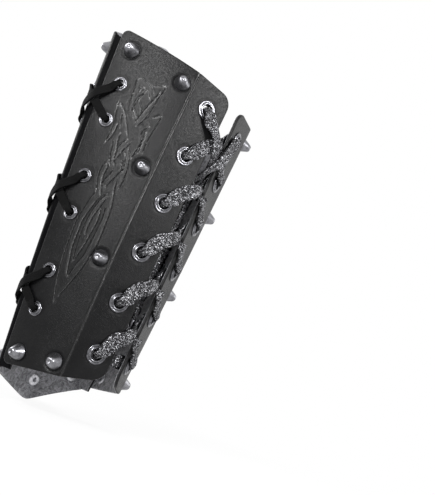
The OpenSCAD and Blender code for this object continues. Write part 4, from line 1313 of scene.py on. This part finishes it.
def wovenLace():
    # Flat braided polyester lace with metallised film thread run through it: grey yarn in diagonal
    # plaits, with painted shade in the hollows between them, and hard bright glints where the film faces the
    # light
    f = weaveFinish
    material, tree, shader = newMaterial("braidedMetallicLace")
    pattern = addNode(tree, "ShaderNodeUVMap", uv_map="woven")
    axes = addNode(tree, "ShaderNodeSeparateXYZ", {"Vector": (pattern, "UV")})
    waves = []
    for way in ("ADD", "SUBTRACT"):
        slant = addNode(tree, "ShaderNodeMath", {0: (axes, "X"), 1: (axes, "Y")}, operation=way)
        phase = addNode(tree, "ShaderNodeMath",
                        {0: (slant, "Value"), 1: math.pi / (laceShape["plait"] * mm)}, operation="MULTIPLY")
        waves.append(addNode(tree, "ShaderNodeMath", {0: (phase, "Value")}, operation="COSINE"))
    weave = addNode(tree, "ShaderNodeMath", {0: (waves[0], "Value"), 1: (waves[1], "Value")},
                    operation="MULTIPLY")
    cell = addNode(tree, "ShaderNodeTexVoronoi", {"Vector": (pattern, "UV"), "Scale": perMetre(f["glint"])})
    random = addNode(tree, "ShaderNodeSeparateColor", {"Color": (cell, "Color")})
    # painted shade: yarn darker where the plaits' relief lies low, lighter on the crests, plus its own
    # random tone
    shade = addNode(tree, "ShaderNodeMath", {0: (weave, "Value"), 1: f["plaitShade"], 2: (random, "Red")},
                    operation="MULTIPLY_ADD")
    yarn = addNode(tree, "ShaderNodeValToRGB", {"Fac": (shade, "Value")},
                   stops=((0.05, f["yarnDarkAndShaded"]), (0.95, f["yarn"])))
    film = addNode(tree, "ShaderNodeValToRGB", {"Fac": (random, "Green")}, stops=((0.77, 0.0), (0.85, 1.0)))
    colour = addNode(tree, "ShaderNodeMix",
                     {"Factor": (film, "Color"), 6: (yarn, "Color"), 7: linear(f["thread"])},
                     data_type="RGBA")
    rough = addNode(tree, "ShaderNodeMapRange", {"Value": (film, "Color"), "To Min": f["roughness"][1],
                                                 "To Max": f["roughness"][0]})
    lift = addNode(tree, "ShaderNodeMath", {0: (random, "Blue"), 1: (weave, "Value")}, operation="ADD")
    bump = addNode(tree, "ShaderNodeBump",
                   {"Strength": f["bump"], "Distance": f["depth"] * mm, "Height": (lift, "Value")})
    fillInputs(tree, shader, {"Base Color": (colour, 2), "Metallic": (film, "Color"),
                              "Roughness": (rough, "Result"), "Specular IOR Level": f["film"],
                              "Normal": (bump, "Normal")})
    return material


cordFinish = {
    "wax": "#060607",
    "waxDark": "#020202",
    "yarn": 0.7143,
    "depth": 0.3,
    "bump": 0.7,
    "roughness": 0.8,
    "film": 0.1,
}


def waxedCord():
    # Flat black braided cord, waxed: matt, with the plaits just showing
    f = cordFinish
    material, tree, shader = newMaterial("waxedBraidedCord")
    pattern = addNode(tree, "ShaderNodeUVMap", uv_map="woven")
    cell = addNode(tree, "ShaderNodeTexVoronoi", {"Vector": (pattern, "UV"), "Scale": perMetre(f["yarn"])})
    colour = addNode(tree, "ShaderNodeValToRGB", {"Fac": (cell, "Distance")},
                     stops=((0.1, f["wax"]), (0.7, f["waxDark"])))
    bump = addNode(tree, "ShaderNodeBump",
                   {"Strength": f["bump"], "Distance": f["depth"] * mm, "Height": (cell, "Distance")})
    fillInputs(tree, shader, {"Base Color": (colour, "Color"), "Normal": (bump, "Normal"),
                              "Roughness": f["roughness"], "Specular IOR Level": f["film"]})
    return material


finishes = {
    "leather": smoothLeather(),
    "suede": suede(),
    "edge": cutEdge(),
    "lace": wovenLace(),
    "cord": waxedCord(),
}
for kind, settings in metalFinish.items():
    finishes[kind] = platedMetal(*settings)
for panel in (frontLeather, rightLeather, leftLeather):
    for key in ("leather", "suede", "edge"):
        panel.data.materials.append(finishes[key])
for cord in seamCords.values():
    cord.data.materials.append(finishes["cord"])
for half in (rightLace, leftLace):
    half.data.materials.append(finishes["lace"])
print("materials made")

# Profiles of the turned pieces, (radius, height) from the axis, the leather's face at height 0
press = eyeletShape["press"]
fleshTop = press - leather["thickness"]
studProfile = [(0, -1.2), (5.1, -1.0), (5.2, -0.7), (5.2, -0.25), (5.12, 0.0), (4.95, 0.3),
               (4.4, 1.5), (3.5, 3.5), (2.62, 5.4), (2.3, 5.8), (1.95, 6.2), (1.5, 6.4),
               (1.15, 6.34), (0.95, 6.1), (0.7, 5.9), (0, 5.82)]
cap = ((0, 0.6), (4.1, 0.5), (4.2, 0), (4.2, -0.5), (4.05, -0.9), (3.6, -1.3), (2.9, -1.4),
       (1.8, -1.4), (1.5, -1.3), (1.38, -1.1), (1.32, 0.15), (0, 0.2))
backProfile = [(r, fleshTop + h) for r, h in cap]


def eyeletProfile(d, bore):
    # The barrel rolled over behind the washer, then the stepped flange and the rolled lip in front
    r, b = d / 2, bore / 2
    lip = r - b
    back = fleshTop - eyeletShape["washer"]
    rolled = ((0, -0.3), (0.12, -0.45), (0.3, -0.5), (0.7, -0.5), (1.1, -0.38), (1.3, -0.2),
              (1.3, 0.1), (0.45, 0.1))
    step = ((0.26, 0.6), (0.36, 0.5), (0.42, 0.42), (0.48, 0.6), (0.55, 1.0), (0.64, 1.22), (0.74, 1.3))
    profile = [(b + x, back + h) for x, h in rolled]
    profile += [(b + 0.45, -press), (r, -press), (r + 0.03, 0.1), (r - 0.1, 0.36), (r - 0.3, 0.54)]
    profile += [(r - lip * x, h) for x, h in step]
    return profile + [(b + lip * 0.14, 1.22), (b + lip * 0.05, 1.02), (b, 0.65)]


def washerProfile(d, bore):
    hole, r, top = bore / 2 + 0.5, d / 2, fleshTop
    return [(hole, top - 0.58), (hole, top + 0.1), (r - 0.1, top + 0.1), (r, top), (r, top - 0.3),
            (r - 0.12, top - 0.5), (r - 0.35, top - 0.6)]


small, large = (eyeletShape["small"], cordShape["bore"]), (eyeletShape["large"], laceShape["bore"])
turned = {
    "stud": spinProfile("studTurned", studProfile, 40),
    "back": spinProfile("backTurned", backProfile, 32),
    "smallEyelet": spinProfile("smallEyeletPressed", eyeletProfile(*small), 40),
    "smallWasher": spinProfile("smallWasherPressed", washerProfile(*small), 32),
    "largeEyelet": spinProfile("largeEyeletPressed", eyeletProfile(*large), 48),
    "largeWasher": spinProfile("largeWasherPressed", washerProfile(*large), 40),
}
placesOf = {
    "frontStud": [placeOn(frontPoint, t, z) for t, z in frontStuds],
    "sideStud": [placeOn(sidePoint, u, z) for u, z in sideStuds],
    "frontSmall": [placeOn(frontPoint, t, z) for t, z in frontSmall],
    "sideSmall": [placeOn(sidePoint, u, z) for u, z in sideSmall],
    "sideLarge": [placeOn(sidePoint, u, z) for u, z in sideLarge],
}
# Kinds of hardware: end of the piece's name, turned piece, places, finish, end of the CAD node's name
hardwareKinds = (
    ("ConeStuds", "stud", "Stud", "stud", "studs"),
    ("RivetBacks", "back", "Stud", "back", "rivet_backs"),
    ("SeamEyelets", "smallEyelet", "Small", "eyelet", "seam_eyelets"),
    ("SeamWashers", "smallWasher", "Small", "eyelet", "seam_washers"),
    ("ClosureEyelets", "largeEyelet", "Large", "eyelet", "closure_eyelets"),
    ("ClosureWashers", "largeWasher", "Large", "eyelet", "closure_washers"),
)
groups = 0
for side, panel, body, mirror in (("front", "front", "front", False),
                                  ("right", "side", "right_side", False),
                                  ("left", "side", "left_side", True)):
    for name, piece, places, finish, node in hardwareKinds:
        if panel + places not in placesOf:
            continue
        where = placesOf[panel + places]
        made = setHardware(side + name, turned[piece], where, finishes[finish], groups, mirror)
        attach(made, body)
        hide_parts(side + "_" + node)
        groups += 1
for piece in turned.values():
    bpy.data.objects.remove(piece)
print("hardware set:", groups, "groups")


def makeAglet(name, sign):
    # Rolled metal tube with a crimped ring near its mouth and a rounded end
    z = lacing["closureZ"][-1] - laceShape["tail"]
    y = stripEdge(z)[1] + laceShape["tailHeight"]
    r, length = laceShape["aglet"] / 2, laceShape["agletLength"]
    profile = [(0, -0.3), (r - 0.25, -0.3), (r, 0), (r, -1.2), (r + 0.06, -1.4), (r, -1.7),
               (r, -length + 1.6), (r - 0.15, -length + 0.7), (r - 0.5, -length + 0.15),
               (0.6, -length), (0, -length)]
    tube = spinProfile(name, profile, 28)
    place = Vector((sign * laceShape["tailAcross"] * mm, y * mm, (z - 0.3) * mm))
    tube.data.transform(Matrix.Translation(place))
    tube.data.materials.append(finishes["stud"])
    return tube


for name, sign, body in (("rightAglet", 1, "right_side"), ("leftAglet", -1, "left_side")):
    tube = makeAglet(name, sign)
    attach(tube, body)
    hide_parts("lace_aglets")

for panel, body, node in ((frontLeather, "front", "front_panel"),
                          (rightLeather, "right_side", "right_side_panel"),
                          (leftLeather, "left_side", "left_side_panel")):
    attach(panel, body)
    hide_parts(node)
# Share of the fold, in from the side panel's edge, and the height and depth at which the lace spans the
# gap: points on the cords are worked out from them below, but not used
blendPlaces = {"foldShare": 0.5, "sideIn": 2.0, "laceZ": 100.0, "laceY": 40.0}
for name, cord in seamCords.items():
    side = "right" if name.startswith("right") else "left"
    sign = 1 if side == "right" else -1
    place = name.replace(side + "SeamCord", "").lower()
    z = lacing["crossZ"][("wrist", "middle", "elbow").index(place)]
    border = frontPoint(foldStart(z) + foldLength * blendPlaces["foldShare"], np.array(z)) * mm
    edge = sidePoint(np.array(blendPlaces["sideIn"]), np.array(z)) * mm
    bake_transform(cord)
    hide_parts(side + "_seam_cord_" + place)
for half, side, sign in ((rightLace, "right", 1), (leftLace, "left", -1)):
    y, z = blendPlaces["laceY"], blendPlaces["laceZ"]
    reach = sign * stripEdge(z)[0]
    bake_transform(half)
    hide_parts("closure_lace")

# Studio: pale floor under the hand end, soft light from the upper right of the photograph
studio = {
    "aim": (0, 0, 0.11),
    "floorZ": -23.6,
    "floorSize": 3.0,
    "paper": "#f4f4f4",
    "ambient": 0.28,
    "floorShare": 0.14,
    "shadowReach": (0.1, 0.45),
    "lamps": {
        "keyLight": ((0.6, 0.17, 0.29), (0.25, 0.2), 5.0),
        "stripLight": ((-0.06, 0.64, 0.36), (0.15, 0.15), 4.0),
        "farSideLight": ((-0.7, 0.35, 0.3), (0.4, 0.4), 1.4),
        "frontLight": ((0.2, -0.9, 0.6), (0.5, 0.4), 5.5),
    },
}


def backgroundSeen(tree):
    # True for rays that should find the plain white background
    path = addNode(tree, "ShaderNodeLightPath")
    first = addNode(tree, "ShaderNodeMath", {0: (path, "Is Camera Ray"), 1: (path, "Is Glossy Ray")},
                    operation="MAXIMUM")
    return addNode(tree, "ShaderNodeMath", {0: (first, "Value"), 1: (path, "Is Transmission Ray")},
                   operation="MAXIMUM")


def makeStudio():
    bpy.ops.mesh.primitive_plane_add(size=studio["floorSize"], location=(0, 0, studio["floorZ"] * mm))
    floor = bpy.context.object
    floor.name = "paperFloor"
    material, tree, shader = newMaterial("matWhitePaper")
    fillInputs(tree, shader, {"Base Color": linear(studio["paper"]), "Roughness": 0.9})
    seen = backgroundSeen(tree)
    glow = addNode(tree, "ShaderNodeEmission", {"Strength": 1.0})
    place = addNode(tree, "ShaderNodeTexCoord")
    away = addNode(tree, "ShaderNodeVectorMath", {0: (place, "Object")}, operation="LENGTH")
    near, far = studio["shadowReach"]
    plain = addNode(tree, "ShaderNodeMapRange", {"Value": (away, "Value"), "From Min": near, "From Max": far,
                                                "To Min": 1 - studio["floorShare"], "To Max": 1.0})
    share = addNode(tree, "ShaderNodeMath", {0: (seen, "Value"), 1: (plain, "Result")}, operation="MULTIPLY")
    both = addNode(tree, "ShaderNodeMixShader",
                   {"Fac": (share, "Value"), 1: (shader, "BSDF"), 2: (glow, "Emission")})
    fillInputs(tree, tree.nodes["Material Output"], {"Surface": (both, "Shader")})
    floor.data.materials.append(material)
    world = bpy.data.worlds.new("studio")
    bpy.context.scene.world = world
    world.use_nodes = True
    tree = world.node_tree
    seen = backgroundSeen(tree)
    strength = addNode(tree, "ShaderNodeMapRange",
                       {"Value": (seen, "Value"), "To Min": studio["ambient"], "To Max": 1.0})
    sky = tree.nodes["Background"]
    fillInputs(tree, sky, {"Color": (1, 1, 1, 1), "Strength": (strength, "Result")})


def softBox(name, place, aim, size, power):
    data = bpy.data.lights.new(name, "AREA")
    data.shape = "RECTANGLE"
    data.size, data.size_y = size
    data.energy = power
    lamp = bpy.data.objects.new(name, data)
    lamp.location = Vector(place)
    lamp.rotation_euler = (Vector(aim) - Vector(place)).to_track_quat("-Z", "Y").to_euler()
    bpy.context.scene.collection.objects.link(lamp)


makeStudio()
for name, (place, size, power) in studio["lamps"].items():
    softBox(name, place, studio["aim"], size, power)
bpy.context.scene.view_settings.view_transform = "Standard"
print("studio lit")
